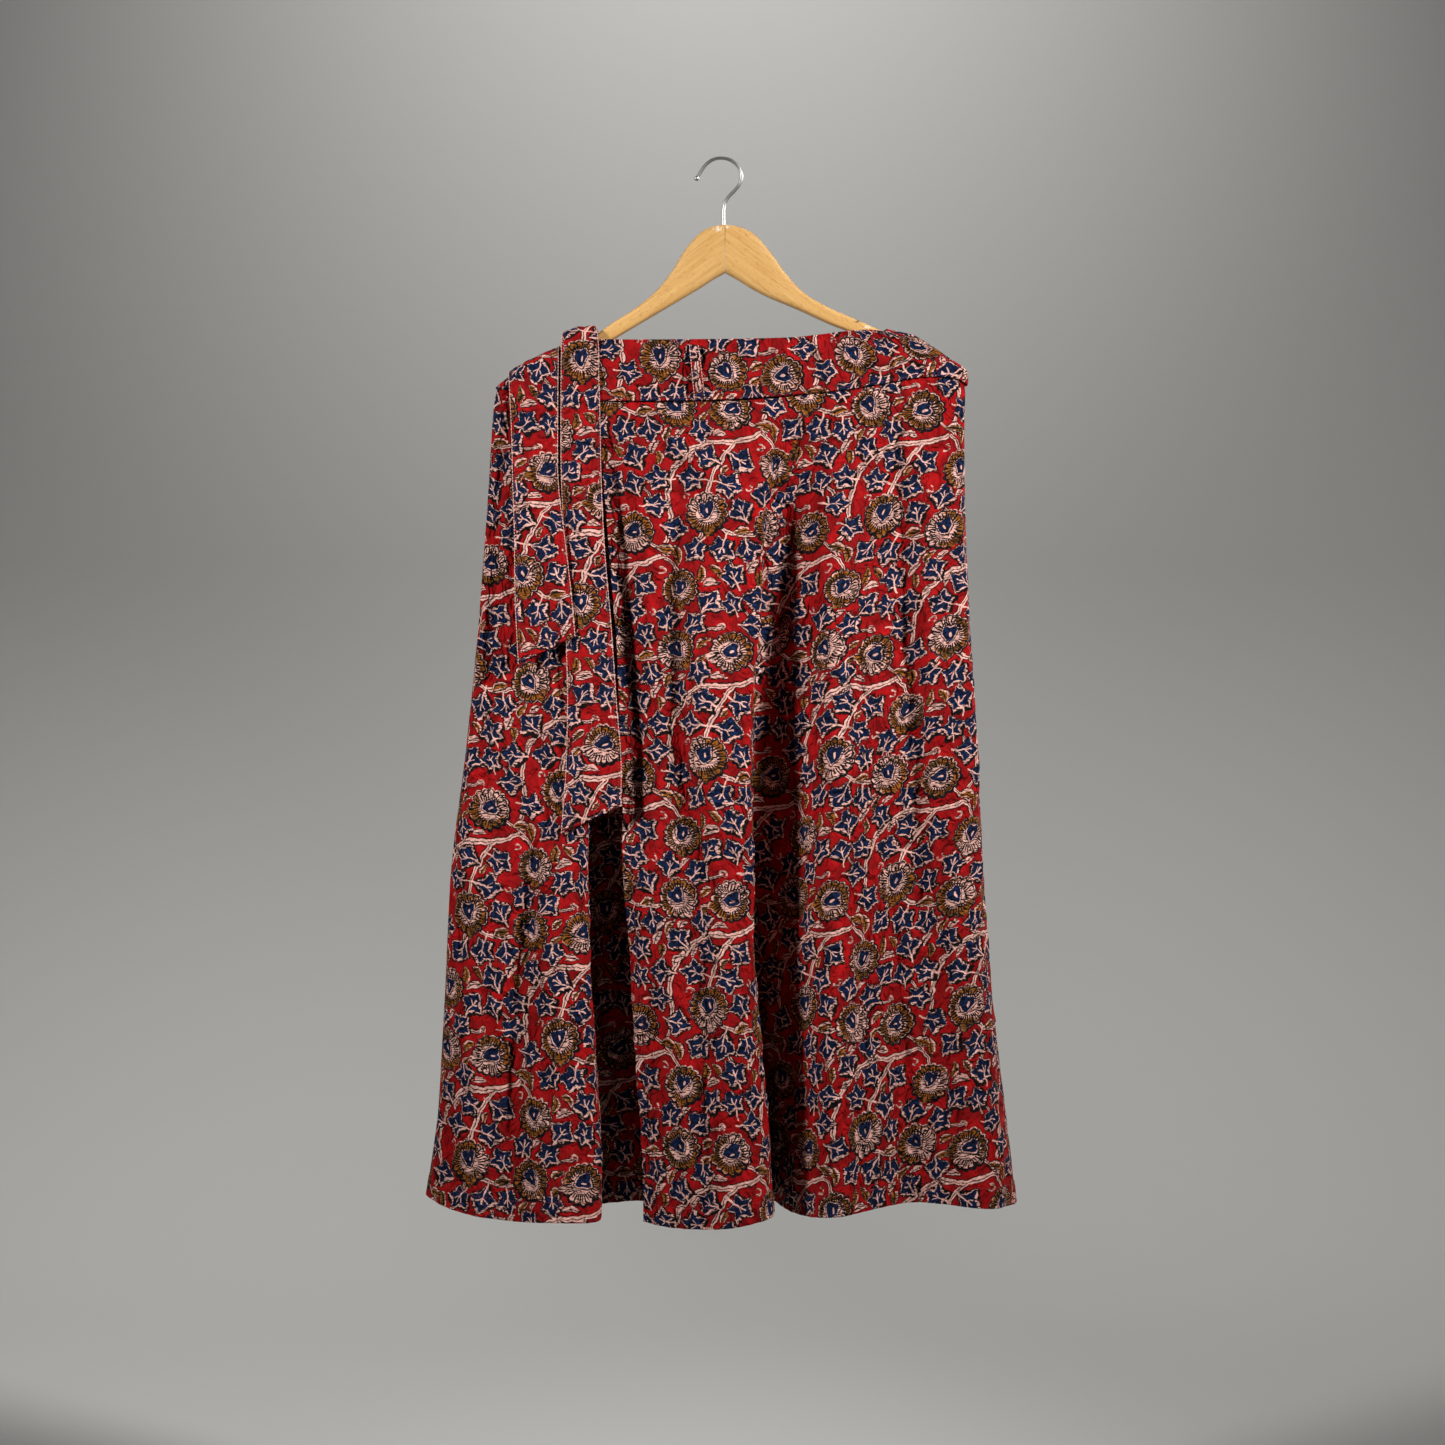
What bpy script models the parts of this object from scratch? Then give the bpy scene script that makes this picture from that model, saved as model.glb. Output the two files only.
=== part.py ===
"""A wrap skirt of printed cotton, hung on a wooden hanger with a wire hook.

The skirt is one long strip: an outer front panel, a back panel and an under front panel, all
sewn to one waistband. Wrapped round, its outer end covers its inner end at the front. The
waistband is folded over the arms of the hanger, so that the arms come out between its front
and its back, and both ties hang over the left arm.

Frame: the origin is where the top of the hook bears on its rail, +Z is up, +X is to the
viewer's right and the front of the skirt faces -Y. Lengths below are millimetres, and
make_object turns them into metres.
"""

import math
from typing import NamedTuple

import bmesh
import bpy
import numpy as np

MM = 0.001

# Cloth thicknesses, with turnings and seams counted in, and the gap kept at every seam
PANEL_WALL = 1.5
BAND_WALL = 1.6
TIE_WALL = 2.0
SEAM_GAP = 0.3

# Heights of the two ends of the waistband's lower seam, at the tips of the hanger
LEFT_TIP_Z = -206.0
RIGHT_TIP_Z = -213.0

# Levels at which the folds are given: shares of the way from the seam down to the hem
LEVELS = (0.0, 0.3, 0.6, 1.0)
NOMINAL_WIDTH = 500.0

# The back hangs plainly in three soft folds, and droops a little between the tips
BACK_SHARES = (0.98, 0.92, 0.83, 0.73, 0.64, 0.55, 0.45, 0.36, 0.27, 0.17, 0.08, 0.02)
BACK_EDGE_DEPTH = (8.0, 10.0, 13.0, 16.0)
BACK_DEPTH = (16.5, 26.0, 37.0, 50.0)
BACK_RIPPLE = (0.0, 3.0, 6.0, 10.0)
BACK_FOLDS = 3
BACK_DROOP = 30.0
BACK_HEM_Z = -981.0
BACK_HEM_RIPPLE = 4.0
BACK_RIM_DEPTH = (7.6, 15.0)
BACK_RIM_DIP = 3.0
BACK_RIM_DROOP = 22.0
BACK_RIM_SPREAD = ((0.0, 0.14, 0.86, 1.0), (0.0, 0.06, 0.94, 1.0))

# The under front panel runs on behind the outer one, nearly flat
UNDER_SHARES = (0.40, 0.50, 0.60, 0.70)
UNDER_DEPTH = (-13.2, -13.0, -8.0, -4.0)
UNDER_SEAM_Z = -230.2
UNDER_HEM_Z = -986.0
UNDER_RIM_DEPTH = -11.0
UNDER_RIM_Z = -171.4
UNDER_RIM_SPREAD = ((0.25, 0.70), (-96.0, 84.0))

# The band's fold over each arm, as x and z from the rim to the tip, and how much of the
# width on each side follows it
ARM_FOLD_LEFT = (
    (-121.5, -164.0), (-151.5, -179.5), (-181.0, -197.0), (-200.0, -204.6), (-212.0, LEFT_TIP_Z),
)
ARM_FOLD_RIGHT = (
    (156.0, -159.4), (184.0, -167.2), (212.0, -185.4), (233.5, -203.6), (231.5, RIGHT_TIP_Z),
)
ARM_SHARE = 0.16

# Samples of the cloth between two neighbouring fold lines, and down the cloth
STEPS_ACROSS = 3
BAND_ROWS = 6
PANEL_ROWS = 16
SIDE_SEAM_STEP = 0.02
NORMAL_STEP = 0.04
SMALLEST_STEP = 1e-6

# The belt loop, a narrow carrier that stands a little off the band
LOOP_LINE = 2.42
LOOP_WIDTH = 11.5
LOOP_WALL = 1.4
LOOP_TOP = 0.14
LOOP_FOOT = 0.985
LOOP_BOW = 2.6
LOOP_ROWS = 8

# The hanger: two halves of flat, rounded board that meet at a glued joint
JOINT_X = 3.8
BOARD_HALF_NECK = 6.0
BOARD_HALF_TIP = 4.6
BOARD_CORNERS = 16
BOARD_SQUARENESS = 4.0

# The hook: round wire, screwed into the crown of the hanger
WIRE_RADIUS = 1.6
HOOK_BORE_RADIUS = 1.95
HOOK_X = 2.5
HOOK_FOOT_Z = -80.0
HOOK_BORE_TOP_Z = -48.0
HOOK_BORE_FOOT_Z = -80.6
BORE_SIDES = 24

COTTON = ((0.48, 0.016, 0.014), 0.86, 0.0)
TIE_COTTON = ((0.45, 0.015, 0.013), 0.86, 0.0)
BEECH = ((0.52, 0.23, 0.07), 0.34, 0.0)
PLATED_WIRE = ((0.62, 0.60, 0.56), 0.28, 1.0)


class SideRow(NamedTuple):
    """One level of the skirt's outline: its share of the drop, and x at its two side folds."""

    drop: float
    left: float
    right: float


SIDES = (
    SideRow(0.0, ARM_FOLD_LEFT[-1][0], ARM_FOLD_RIGHT[-1][0]),
    SideRow(0.04, -216.0, 230.2),
    SideRow(0.15, -221.0, 230.8),
    SideRow(0.30, -229.5, 235.0),
    SideRow(0.45, -241.2, 241.4),
    SideRow(0.60, -255.5, 247.5),
    SideRow(0.75, -260.8, 255.8),
    SideRow(0.90, -267.6, 268.6),
    SideRow(1.0, -278.5, 278.0),
)


class FoldLine(NamedTuple):
    """One line down the cloth: an edge, a crest, a valley or a flank between two of them.

    rim is its x, y and z on the band's upper edge. across is its share of the skirt's width
    from the left fold to the right one, and depth is its y, both at the four LEVELS. seam and
    hem are the heights of its ends below the band.
    """

    rim: tuple
    across: tuple
    depth: tuple
    seam: float
    hem: float


# The front from the free edge of the outer panel to the fold at the right side
OUTER_FRONT = {
    "free edge": FoldLine(
        (-113, -13.0, -171.0), (.219, .281, .328, .371), (-17.5, -24, -36, -50), -230.6, -994,
    ),
    "edge swell": FoldLine(
        (-92, -14.0, -171.5), (.277, .322, .361, .411), (-18.0, -31, -50, -72), -230.7, -996,
    ),
    "middle crest": FoldLine(
        (-45, -15.0, -171.5), (.384, .412, .444, .468), (-18.5, -35, -58, -86), -230.7, -995,
    ),
    "middle flank": FoldLine(
        (0, -15.2, -171.2), (.504, .494, .517, .529), (-18.2, -33, -55, -82), -229.0, -991,
    ),
    "valley lip": FoldLine(
        (36, -15.0, -170.6), (.576, .528, .560, .581), (-17.8, -27, -42, -60), -227.0, -987,
    ),
    "valley floor": FoldLine(
        (50, -14.8, -170.2), (.607, .552, .585, .596), (-17.5, -21, -19, -16), -226.2, -981,
    ),
    "right flank": FoldLine(
        (68, -14.2, -169.4), (.656, .606, .632, .633), (-17.2, -26, -34, -42), -224.0, -989,
    ),
    "right crest": FoldLine(
        (98, -12.8, -166.0), (.746, .730, .739, .725), (-16.0, -31, -52, -76), -219.5, -984,
    ),
    "right crease": FoldLine(
        (124, -11.2, -162.6), (.844, .866, .868, .854), (-12.8, -23, -37, -52), -212.0, -979,
    ),
    "right swell": FoldLine(
        (141, -10.6, -161.8), (.920, .939, .943, .931), (-11.0, -18, -29, -42), -206.8, -981,
    ),
    "right turn": FoldLine(
        (152.5, -8.6, -162.4), (.982, .988, .985, .981), (-8.8, -12, -17, -22), -209.0, -982,
    ),
    "right fold": FoldLine(
        (156, 0.0, -159.4), (1.0, 1.0, 1.0, 1.0), (0, 0, 0, 0), RIGHT_TIP_Z, -983,
    ),
}

# The front from the fold at the left side to the valley where the outer panel begins
LEFT_FRONT = {
    "left fold": FoldLine(
        (-121.5, 0.0, -164.0), (0.0, 0.0, 0.0, 0.0), (0, 0, 0, 0), LEFT_TIP_Z, -978,
    ),
    "left turn": FoldLine(
        (-120.8, -8.2, -166.2), (.011, .011, .014, .018), (-8.8, -12, -16, -20), -209.0, -980,
    ),
    "left swell": FoldLine(
        (-119.6, -9.3, -168.2), (.049, .049, .061, .070), (-10.5, -18, -28, -40), -214.0, -988,
    ),
    "left crease": FoldLine(
        (-117.8, -9.8, -169.2), (.116, .125, .157, .145), (-13.0, -25, -36, -48), -224.0, -993,
    ),
    "left crest": FoldLine(
        (-115.6, -10.1, -170.4), (.161, .178, .208, .228), (-14.5, -29, -48, -70), -228.0, -991,
    ),
    "left lip": FoldLine(
        (-112.8, -10.4, -171.0), (.188, .241, .265, .305), (-15.0, -26, -42, -58), -230.0, -992,
    ),
    "edge valley": FoldLine(
        (-108, -10.8, -171.4), (.214, .268, .297, .339), (-13.8, -15, -10, -6), -230.6, -988,
    ),
}


class TieRow(NamedTuple):
    """One row across a tie: its left and right ends as x and z, and its y."""

    left: tuple
    right: tuple
    depth: float


# Each tie from its sewn end behind the hanger, over the arm and down the front
TIE_LONG = (
    TieRow((-150, -217), (-115, -221), 17.0),
    TieRow((-150, -203), (-115, -204), 16.4),
    TieRow((-150, -182), (-115, -179), 14.6),
    TieRow((-150, -168.5), (-116, -164), 11.6),
    TieRow((-150, -163), (-117, -157.2), 0.0),
    TieRow((-150, -168.5), (-116, -164), -11.8),
    TieRow((-150.4, -180), (-114.3, -180), -15.2),
    TieRow((-150.6, -205), (-114.0, -205), -17.8),
    TieRow((-150.6, -257), (-112.5, -257), -21.8),
    TieRow((-150.0, -303), (-111.5, -303), -24.8),
    TieRow((-147.5, -363), (-108.6, -363), -28.0),
    TieRow((-145.6, -441), (-101.8, -441), -32.5),
    TieRow((-143.4, -514), (-96.4, -514), -38.4),
    TieRow((-145.0, -580), (-91.7, -568), -44.4),
    TieRow((-148.8, -635), (-91.7, -609), -49.4),
)
TIE_SHORT = (
    TieRow((-197, -219), (-152.5, -219), 16.6),
    TieRow((-198.5, -213.5), (-152.5, -204), 16.0),
    TieRow((-200, -206.5), (-152.0, -184), 13.4),
    TieRow((-200.5, -200.6), (-152.0, -176.0), 0.0),
    TieRow((-200, -207), (-152.0, -184), -13.2),
    TieRow((-199, -222), (-152.2, -206), -16.6),
    TieRow((-197, -257), (-152.4, -257), -20.8),
    TieRow((-195.5, -303), (-151.8, -303), -25.6),
    TieRow((-193.3, -363), (-144.6, -363), -31.8),
    TieRow((-192.6, -411), (-139.4, -405), -35.2),
    TieRow((-189.2, -478), (-134.9, -451), -39.0),
)
TIE_STEPS_ALONG = 2
TIE_COLUMNS = 7
TIE_CUP = 1.4


class BoardRow(NamedTuple):
    """One upright section of a hanger half: its x and the heights of its two edges."""

    x: float
    top: float
    foot: float


BOARD_LEFT = (
    BoardRow(JOINT_X - SEAM_GAP / 2, -62.0, -106.8),
    BoardRow(-8, -64.0, -113.6),
    BoardRow(-18, -69.4, -120.1),
    BoardRow(-26, -75.6, -124.9),
    BoardRow(-33.4, -82.9, -129.4),
    BoardRow(-40, -93.6, -133.3),
    BoardRow(-46.9, -105.0, -137.4),
    BoardRow(-60.5, -124.3, -145.4),
    BoardRow(-79.7, -139.7, -156.8),
    BoardRow(-103, -152.0, -170.6),
    BoardRow(-114, -158.6, -177.0),
    BoardRow(-121.5, -167.8, -181.6),
    BoardRow(-150, -182.0, -198.5),
    BoardRow(-172, -195.4, -210.5),
    BoardRow(-184, -202.4, -216.4),
    BoardRow(-195, -206.8, -220.4),
    BoardRow(-202, -209.6, -221.0),
    BoardRow(-206, -212.8, -219.0),
)
BOARD_RIGHT = (
    BoardRow(JOINT_X + SEAM_GAP / 2, -62.0, -106.8),
    BoardRow(16, -63.0, -113.8),
    BoardRow(28.4, -67.2, -121.5),
    BoardRow(37, -75.0, -126.8),
    BoardRow(45.7, -85.7, -130.4),
    BoardRow(53, -96.5, -133.5),
    BoardRow(61.1, -107.0, -136.8),
    BoardRow(76.5, -124.3, -143.4),
    BoardRow(105.6, -141.7, -155.0),
    BoardRow(124.7, -149.8, -162.8),
    BoardRow(146, -158.4, -173.2),
    BoardRow(157, -163.8, -178.6),
    BoardRow(184, -171.8, -191.4),
    BoardRow(207, -187.6, -204.6),
    BoardRow(218, -198.6, -212.6),
    BoardRow(223.5, -206.2, -217.0),
    BoardRow(226.5, -210.6, -215.6),
)

# The hook's centre line, as x and z, from its balled tip over the top and down to its foot
HOOK_ROUTE = (
    (-24.0, -19.6), (-18.8, -10.6), (-12.2, -2.6), (-4.6, 1.3), (3.4, 1.5), (10.8, -1.2),
    (16.8, -7.0), (19.4, -14.6), (17.2, -23.2), (12.4, -29.4), (7.4, -34.6), (3.8, -40.6),
    (HOOK_X, HOOK_BORE_TOP_Z), (HOOK_X, -58.0), (HOOK_X, -69.0), (HOOK_X, HOOK_FOOT_Z),
)
HOOK_STEPS = 3
HOOK_BALL_RADIUS = 2.3
HOOK_TIP_SHARE = 0.75
HOOK_BEVEL_STEPS = 2


def clear_scene():
    """Remove every object, so that the script gives the same result each time."""
    for found in list(bpy.data.objects):
        bpy.data.objects.remove(found, do_unlink=True)


def make_material(name, finish):
    """Return a Principled material from a finish: colour, roughness and metallic value."""
    colour, roughness, metallic = finish
    material = bpy.data.materials.new(name)
    material.use_nodes = True
    shader = material.node_tree.nodes["Principled BSDF"]
    shader.inputs["Base Color"].default_value = (*colour, 1.0)
    shader.inputs["Roughness"].default_value = roughness
    shader.inputs["Metallic"].default_value = metallic
    material.diffuse_color = (*colour, 1.0)
    return material


def make_object(name, points, faces, finish):
    """Make one named object from points in millimetres, with a material of its own."""
    mesh = bpy.data.meshes.new(name)
    mesh.from_pydata([tuple(point * MM) for point in points], [], faces)
    mesh.validate()
    mesh.shade_smooth()
    mesh.materials.append(make_material(name, finish))
    made = bpy.data.objects.new(name, mesh)
    bpy.context.scene.collection.objects.link(made)
    return made


def smooth_through(points, places):
    """Read a smooth curve through the points, at places counted in whole points.

    The curve is a cubic whose slope at each point allows for how unevenly its neighbours are
    spaced, so that a short span beside a long one doesn't swing out. The first axis of points
    runs along the curve, and the last one holds the coordinates.
    """
    points = np.asarray(points, dtype=float)
    steps = np.linalg.norm(np.diff(points, axis=0), axis=-1, keepdims=True)
    steps = np.maximum(steps, SMALLEST_STEP)
    rates = np.diff(points, axis=0) / steps
    inner = (steps[1:] * rates[:-1] + steps[:-1] * rates[1:]) / (steps[1:] + steps[:-1])
    slopes = np.concatenate([rates[:1], inner, rates[-1:]])
    places = np.clip(np.asarray(places, dtype=float), 0, len(points) - 1)
    first = np.minimum(places.astype(int), len(points) - 2)
    share = (places - first).reshape((-1,) + (1,) * (points.ndim - 1))
    start, end, step = points[first], points[first + 1], steps[first]
    turn = share * share * (3 - 2 * share)
    leave = share * (1 - share) ** 2 * step * slopes[first]
    arrive = share * share * (share - 1) * step * slopes[first + 1]
    return start + (end - start) * turn + leave + arrive


def back_line(share):
    """Return the fold line of the plain back at this share of the width."""
    belly = math.sin(math.pi * share)
    lens = math.sqrt(belly)
    ripple = belly * math.cos(2 * math.pi * BACK_FOLDS * share)
    depth = tuple(
        edge + (deep - edge) * lens + wave * ripple
        for edge, deep, wave in zip(BACK_EDGE_DEPTH, BACK_DEPTH, BACK_RIPPLE)
    )
    tip = LEFT_TIP_Z + (RIGHT_TIP_Z - LEFT_TIP_Z) * share
    rim_share = np.interp(share, *BACK_RIM_SPREAD)
    rim_x, rim_z = (
        left + (right - left) * rim_share
        for left, right in zip(ARM_FOLD_LEFT[0], ARM_FOLD_RIGHT[0])
    )
    edge, deep = BACK_RIM_DEPTH
    rim = (rim_x, edge + (deep - edge) * lens, rim_z - BACK_RIM_DIP - BACK_RIM_DROOP * belly)
    seam, hem = tip - BACK_DROOP * belly, BACK_HEM_Z - BACK_HEM_RIPPLE * ripple
    return FoldLine(rim, (share,) * len(LEVELS), depth, seam, hem)


def under_line(share):
    """Return the fold line of the under panel at this share, behind the outer panel."""
    rim = (np.interp(share, *UNDER_RIM_SPREAD), UNDER_RIM_DEPTH, UNDER_RIM_Z)
    return FoldLine(rim, (share,) * len(LEVELS), UNDER_DEPTH, UNDER_SEAM_Z, UNDER_HEM_Z)


def strip_lines():
    """List the fold lines in their order along the strip, from its outer to its inner end."""
    back = [back_line(share) for share in BACK_SHARES]
    under = [under_line(share) for share in UNDER_SHARES]
    return [*OUTER_FRONT.values(), *back, *LEFT_FRONT.values(), *under]


LINES = strip_lines()
RIGHT_FOLD = len(OUTER_FRONT) - 1
LEFT_FOLD = len(OUTER_FRONT) + len(BACK_SHARES)
LAST_LINE = len(LINES) - 1


def control_rows():
    """Return the points of all fold lines at the rim, and at the four levels below the seam.

    Below the seam the first coordinate is the share across, times the nominal width.
    """
    rim = np.array([line.rim for line in LINES], dtype=float)
    across = np.array([line.across for line in LINES])
    depth = np.array([line.depth for line in LINES], dtype=float)
    seam = np.array([line.seam for line in LINES])[:, None]
    hem = np.array([line.hem for line in LINES])[:, None]
    height = seam + (hem - seam) * np.array(LEVELS)
    return rim, np.stack([across * NOMINAL_WIDTH, depth, height], axis=-1)


RIM_ROW, PANEL_NET = control_rows()


def panel_surface(places, drops):
    """Return the skirt's outer face: places count fold lines, drops go from seam to hem."""
    levels = smooth_through(PANEL_NET, places)
    rows = np.interp(drops, LEVELS, range(len(LEVELS)))
    face = smooth_through(levels.swapaxes(0, 1), rows).swapaxes(0, 1)
    side_rows = np.interp(drops, [row.drop for row in SIDES], range(len(SIDES)))
    sides = smooth_through([row[1:] for row in SIDES], side_rows)
    left, right = sides[:, 0], sides[:, 1]
    face[..., 0] = left + (right - left) * face[..., 0] / NOMINAL_WIDTH
    return face


def arm_bulge(fold, drops):
    """Return how far the fold over an arm lies from a straight line between its ends."""
    fold = np.array(fold)
    places = drops * (len(fold) - 1)
    bulge = smooth_through(fold, places) - (fold[0] + (fold[-1] - fold[0]) * drops[:, None])
    return np.stack([bulge[:, 0], np.zeros(len(drops)), bulge[:, 1]], axis=-1)


def band_surface(places, drops):
    """Return the waistband's outer face: places count fold lines, drops go from rim to seam."""
    drops = np.asarray(drops, dtype=float)
    rim = smooth_through(RIM_ROW, places)[:, None]
    seam = panel_surface(places, np.zeros(1))
    share = (seam[..., :1] - SIDES[0].left) / (SIDES[0].right - SIDES[0].left)
    near_left = np.clip(1 - share / ARM_SHARE, 0, 1)
    near_right = np.clip(1 - (1 - share) / ARM_SHARE, 0, 1)
    face = rim + (seam - rim) * drops[:, None]
    face += near_left * arm_bulge(ARM_FOLD_LEFT, drops)
    face += near_right * arm_bulge(ARM_FOLD_RIGHT, drops)
    return face


def unit_normals(down, along):
    """Return the unit normals of a face from its two directions at each point."""
    normal = np.cross(down, along)
    return normal / np.linalg.norm(normal, axis=-1, keepdims=True)


def outward(face):
    """Return the normals of a face whose first axis runs along the strip and second down it."""
    return unit_normals(np.gradient(face, axis=1), np.gradient(face, axis=0))


def strip_normals(surface, places, drops):
    """Return a strip's normals at these places, alike on both sides of a side seam."""
    along = surface(places + NORMAL_STEP, drops) - surface(places - NORMAL_STEP, drops)
    return unit_normals(np.gradient(surface(places, drops), axis=1), along)


def evened(normals):
    """Return normals evened out between neighbours, for a face with narrow corners."""
    padded = np.pad(normals, ((1, 1), (1, 1), (0, 0)), mode="edge")
    across = padded[:-2] + 2 * padded[1:-1] + padded[2:]
    mixed = across[:, :-2] + 2 * across[:, 1:-1] + across[:, 2:]
    return mixed / np.linalg.norm(mixed, axis=-1, keepdims=True)


def seam_normals(places):
    """Return the normals that the band and the panels share where they meet at the waist."""
    above = strip_normals(band_surface, places, np.array([1 - NORMAL_STEP, 1.0]))[:, 1]
    below = strip_normals(panel_surface, places, np.array([0.0, NORMAL_STEP]))[:, 0]
    shared = above + below
    return shared / np.linalg.norm(shared, axis=-1, keepdims=True)


def cloth(name, face, normals, wall, finish):
    """Make a closed wall of cloth from its outer face, thickened against its normals."""
    inner = face - normals * wall
    count, rows = face.shape[:2]
    points = np.concatenate([face.reshape(-1, 3), inner.reshape(-1, 3)])
    behind = count * rows

    def corner(i, j):
        return i * rows + j

    faces = []
    for i in range(count - 1):
        for j in range(rows - 1):
            quad = (corner(i, j), corner(i, j + 1), corner(i + 1, j + 1), corner(i + 1, j))
            faces.append(quad)
            faces.append(tuple(index + behind for index in reversed(quad)))
    around = [corner(i, 0) for i in range(count)]
    around += [corner(count - 1, j) for j in range(1, rows)]
    around += [corner(i, rows - 1) for i in range(count - 2, -1, -1)]
    around += [corner(0, j) for j in range(rows - 2, 0, -1)]
    for here, after in zip(around, around[1:] + around[:1]):
        faces.append((here, after, after + behind, here + behind))
    return make_object(name, points, faces, finish)


def places_between(first, last):
    """Return the places along the strip from one fold line to another, ends included."""
    count = round((last - first) * STEPS_ACROSS) + 1
    return np.linspace(first, last, count)


def build_panels():
    """Make the three panels, parted by the gaps of the side seams and the waist seam."""
    top = SEAM_GAP / 2 / (LINES[0].seam - LINES[0].hem)
    drops = np.linspace(top, 1.0, PANEL_ROWS)
    ends = {
        "front_outer": (0, RIGHT_FOLD - SIDE_SEAM_STEP),
        "back": (RIGHT_FOLD + SIDE_SEAM_STEP, LEFT_FOLD - SIDE_SEAM_STEP),
        "front_under": (LEFT_FOLD + SIDE_SEAM_STEP, LAST_LINE),
    }
    for name, (first, last) in ends.items():
        places = places_between(first, last)
        normals = strip_normals(panel_surface, places, drops)
        normals[:, 0] = seam_normals(places)
        cloth(name, panel_surface(places, drops), normals, PANEL_WALL, COTTON)


def build_waistband():
    """Make the band, one strip over all three panels, its outer end over its inner end."""
    foot = 1.0 - SEAM_GAP / (LINES[0].rim[2] - LINES[0].seam)
    places, drops = places_between(0, LAST_LINE), np.linspace(0.0, foot, BAND_ROWS)
    normals = evened(evened(strip_normals(band_surface, places, drops)))
    normals[:, -1] = seam_normals(places)
    cloth("waistband", band_surface(places, drops), normals, BAND_WALL, COTTON)


def build_belt_loop():
    """Make the carrier from the band's own points, moved out and bowed between its ends."""
    before = int(LOOP_LINE)
    half = LOOP_WIDTH / 2 / np.linalg.norm(RIM_ROW[before + 1] - RIM_ROW[before])
    drops = np.linspace(LOOP_TOP, LOOP_FOOT, LOOP_ROWS)
    face = band_surface(np.array([LOOP_LINE - half, LOOP_LINE, LOOP_LINE + half]), drops)
    share = (drops - LOOP_TOP) / (LOOP_FOOT - LOOP_TOP)
    lift = SEAM_GAP + LOOP_WALL + LOOP_BOW * np.sin(math.pi * share)
    raised = face + outward(face) * lift[None, :, None]
    cloth("belt_loop", raised, outward(raised), LOOP_WALL, COTTON)


def build_tie(name, rows):
    """Make a tie: a double strip that goes over the arm, a little cupped across its width."""
    ends = np.array([(row.left[0], row.depth, row.left[1], row.right[0], row.depth, row.right[1])
                     for row in rows], dtype=float)
    places = np.linspace(0, len(rows) - 1, (len(rows) - 1) * TIE_STEPS_ALONG + 1)
    left, right = (smooth_through(side, places) for side in (ends[:, :3], ends[:, 3:]))
    share = np.linspace(0, 1, TIE_COLUMNS)[:, None, None]
    face = left + (right - left) * share
    bowed = face + outward(face) * TIE_CUP * np.sin(math.pi * share)
    cloth(name, bowed, outward(bowed), TIE_WALL, TIE_COTTON)


def board_section(row, half):
    """Return one section of the board: a rounded upright oblong, as a superellipse."""
    turns = np.linspace(0, 2 * math.pi, BOARD_CORNERS, endpoint=False)
    power = 2 / BOARD_SQUARENESS
    side = np.sign(np.cos(turns)) * np.abs(np.cos(turns)) ** power
    rise = np.sign(np.sin(turns)) * np.abs(np.sin(turns)) ** power
    middle, reach = (row.top + row.foot) / 2, (row.top - row.foot) / 2
    reach_y = np.minimum(half, reach)
    return np.stack([np.full_like(turns, row.x), reach_y * side, middle + reach * rise], axis=-1)


def build_board(name, rows):
    """Make one half of the hanger by lofting its sections from the joint to its tip."""
    shares = np.linspace(0, 1, len(rows))
    halves = BOARD_HALF_NECK + (BOARD_HALF_TIP - BOARD_HALF_NECK) * shares
    sections = [board_section(row, half) for row, half in zip(rows, halves)]
    points = np.concatenate(sections)
    count = BOARD_CORNERS
    faces = [tuple(range(count)), tuple(reversed(range(len(points) - count, len(points))))]
    for row in range(len(rows) - 1):
        for k in range(count):
            after = (k + 1) % count
            base, ahead = row * count, (row + 1) * count
            faces.append((base + k, ahead + k, ahead + after, base + after))
    made = make_object(name, points, faces, BEECH)
    fix_normals(made)
    return made


def fix_normals(made):
    """Turn the faces of a closed mesh outwards."""
    shape = bmesh.new()
    shape.from_mesh(made.data)
    bmesh.ops.recalc_face_normals(shape, faces=shape.faces)
    shape.to_mesh(made.data)
    shape.free()


def build_hook_cutter():
    """Make the bore that the hook's foot is screwed into, as a guide that isn't rendered."""
    depth = (HOOK_BORE_TOP_Z - HOOK_BORE_FOOT_Z) * MM
    shape = bmesh.new()
    bmesh.ops.create_cone(
        shape, cap_ends=True, segments=BORE_SIDES, radius1=HOOK_BORE_RADIUS * MM,
        radius2=HOOK_BORE_RADIUS * MM, depth=depth,
    )
    mesh = bpy.data.meshes.new("hook bore cutter")
    shape.to_mesh(mesh)
    shape.free()
    cutter = bpy.data.objects.new("hook_bore_cutter", mesh)
    cutter.location = (HOOK_X * MM, 0, HOOK_BORE_FOOT_Z * MM + depth / 2)
    cutter.hide_render = True
    cutter.display_type = "WIRE"
    bpy.context.scene.collection.objects.link(cutter)
    return cutter


def build_hanger():
    """Make both halves of the hanger and cut the hook's bore across their joint."""
    cutter = build_hook_cutter()
    for name, rows in (("hanger_left", BOARD_LEFT), ("hanger_right", BOARD_RIGHT)):
        board = build_board(name, rows)
        cut = board.modifiers.new("hook bore", "BOOLEAN")
        cut.operation = "DIFFERENCE"
        cut.object = cutter


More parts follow.
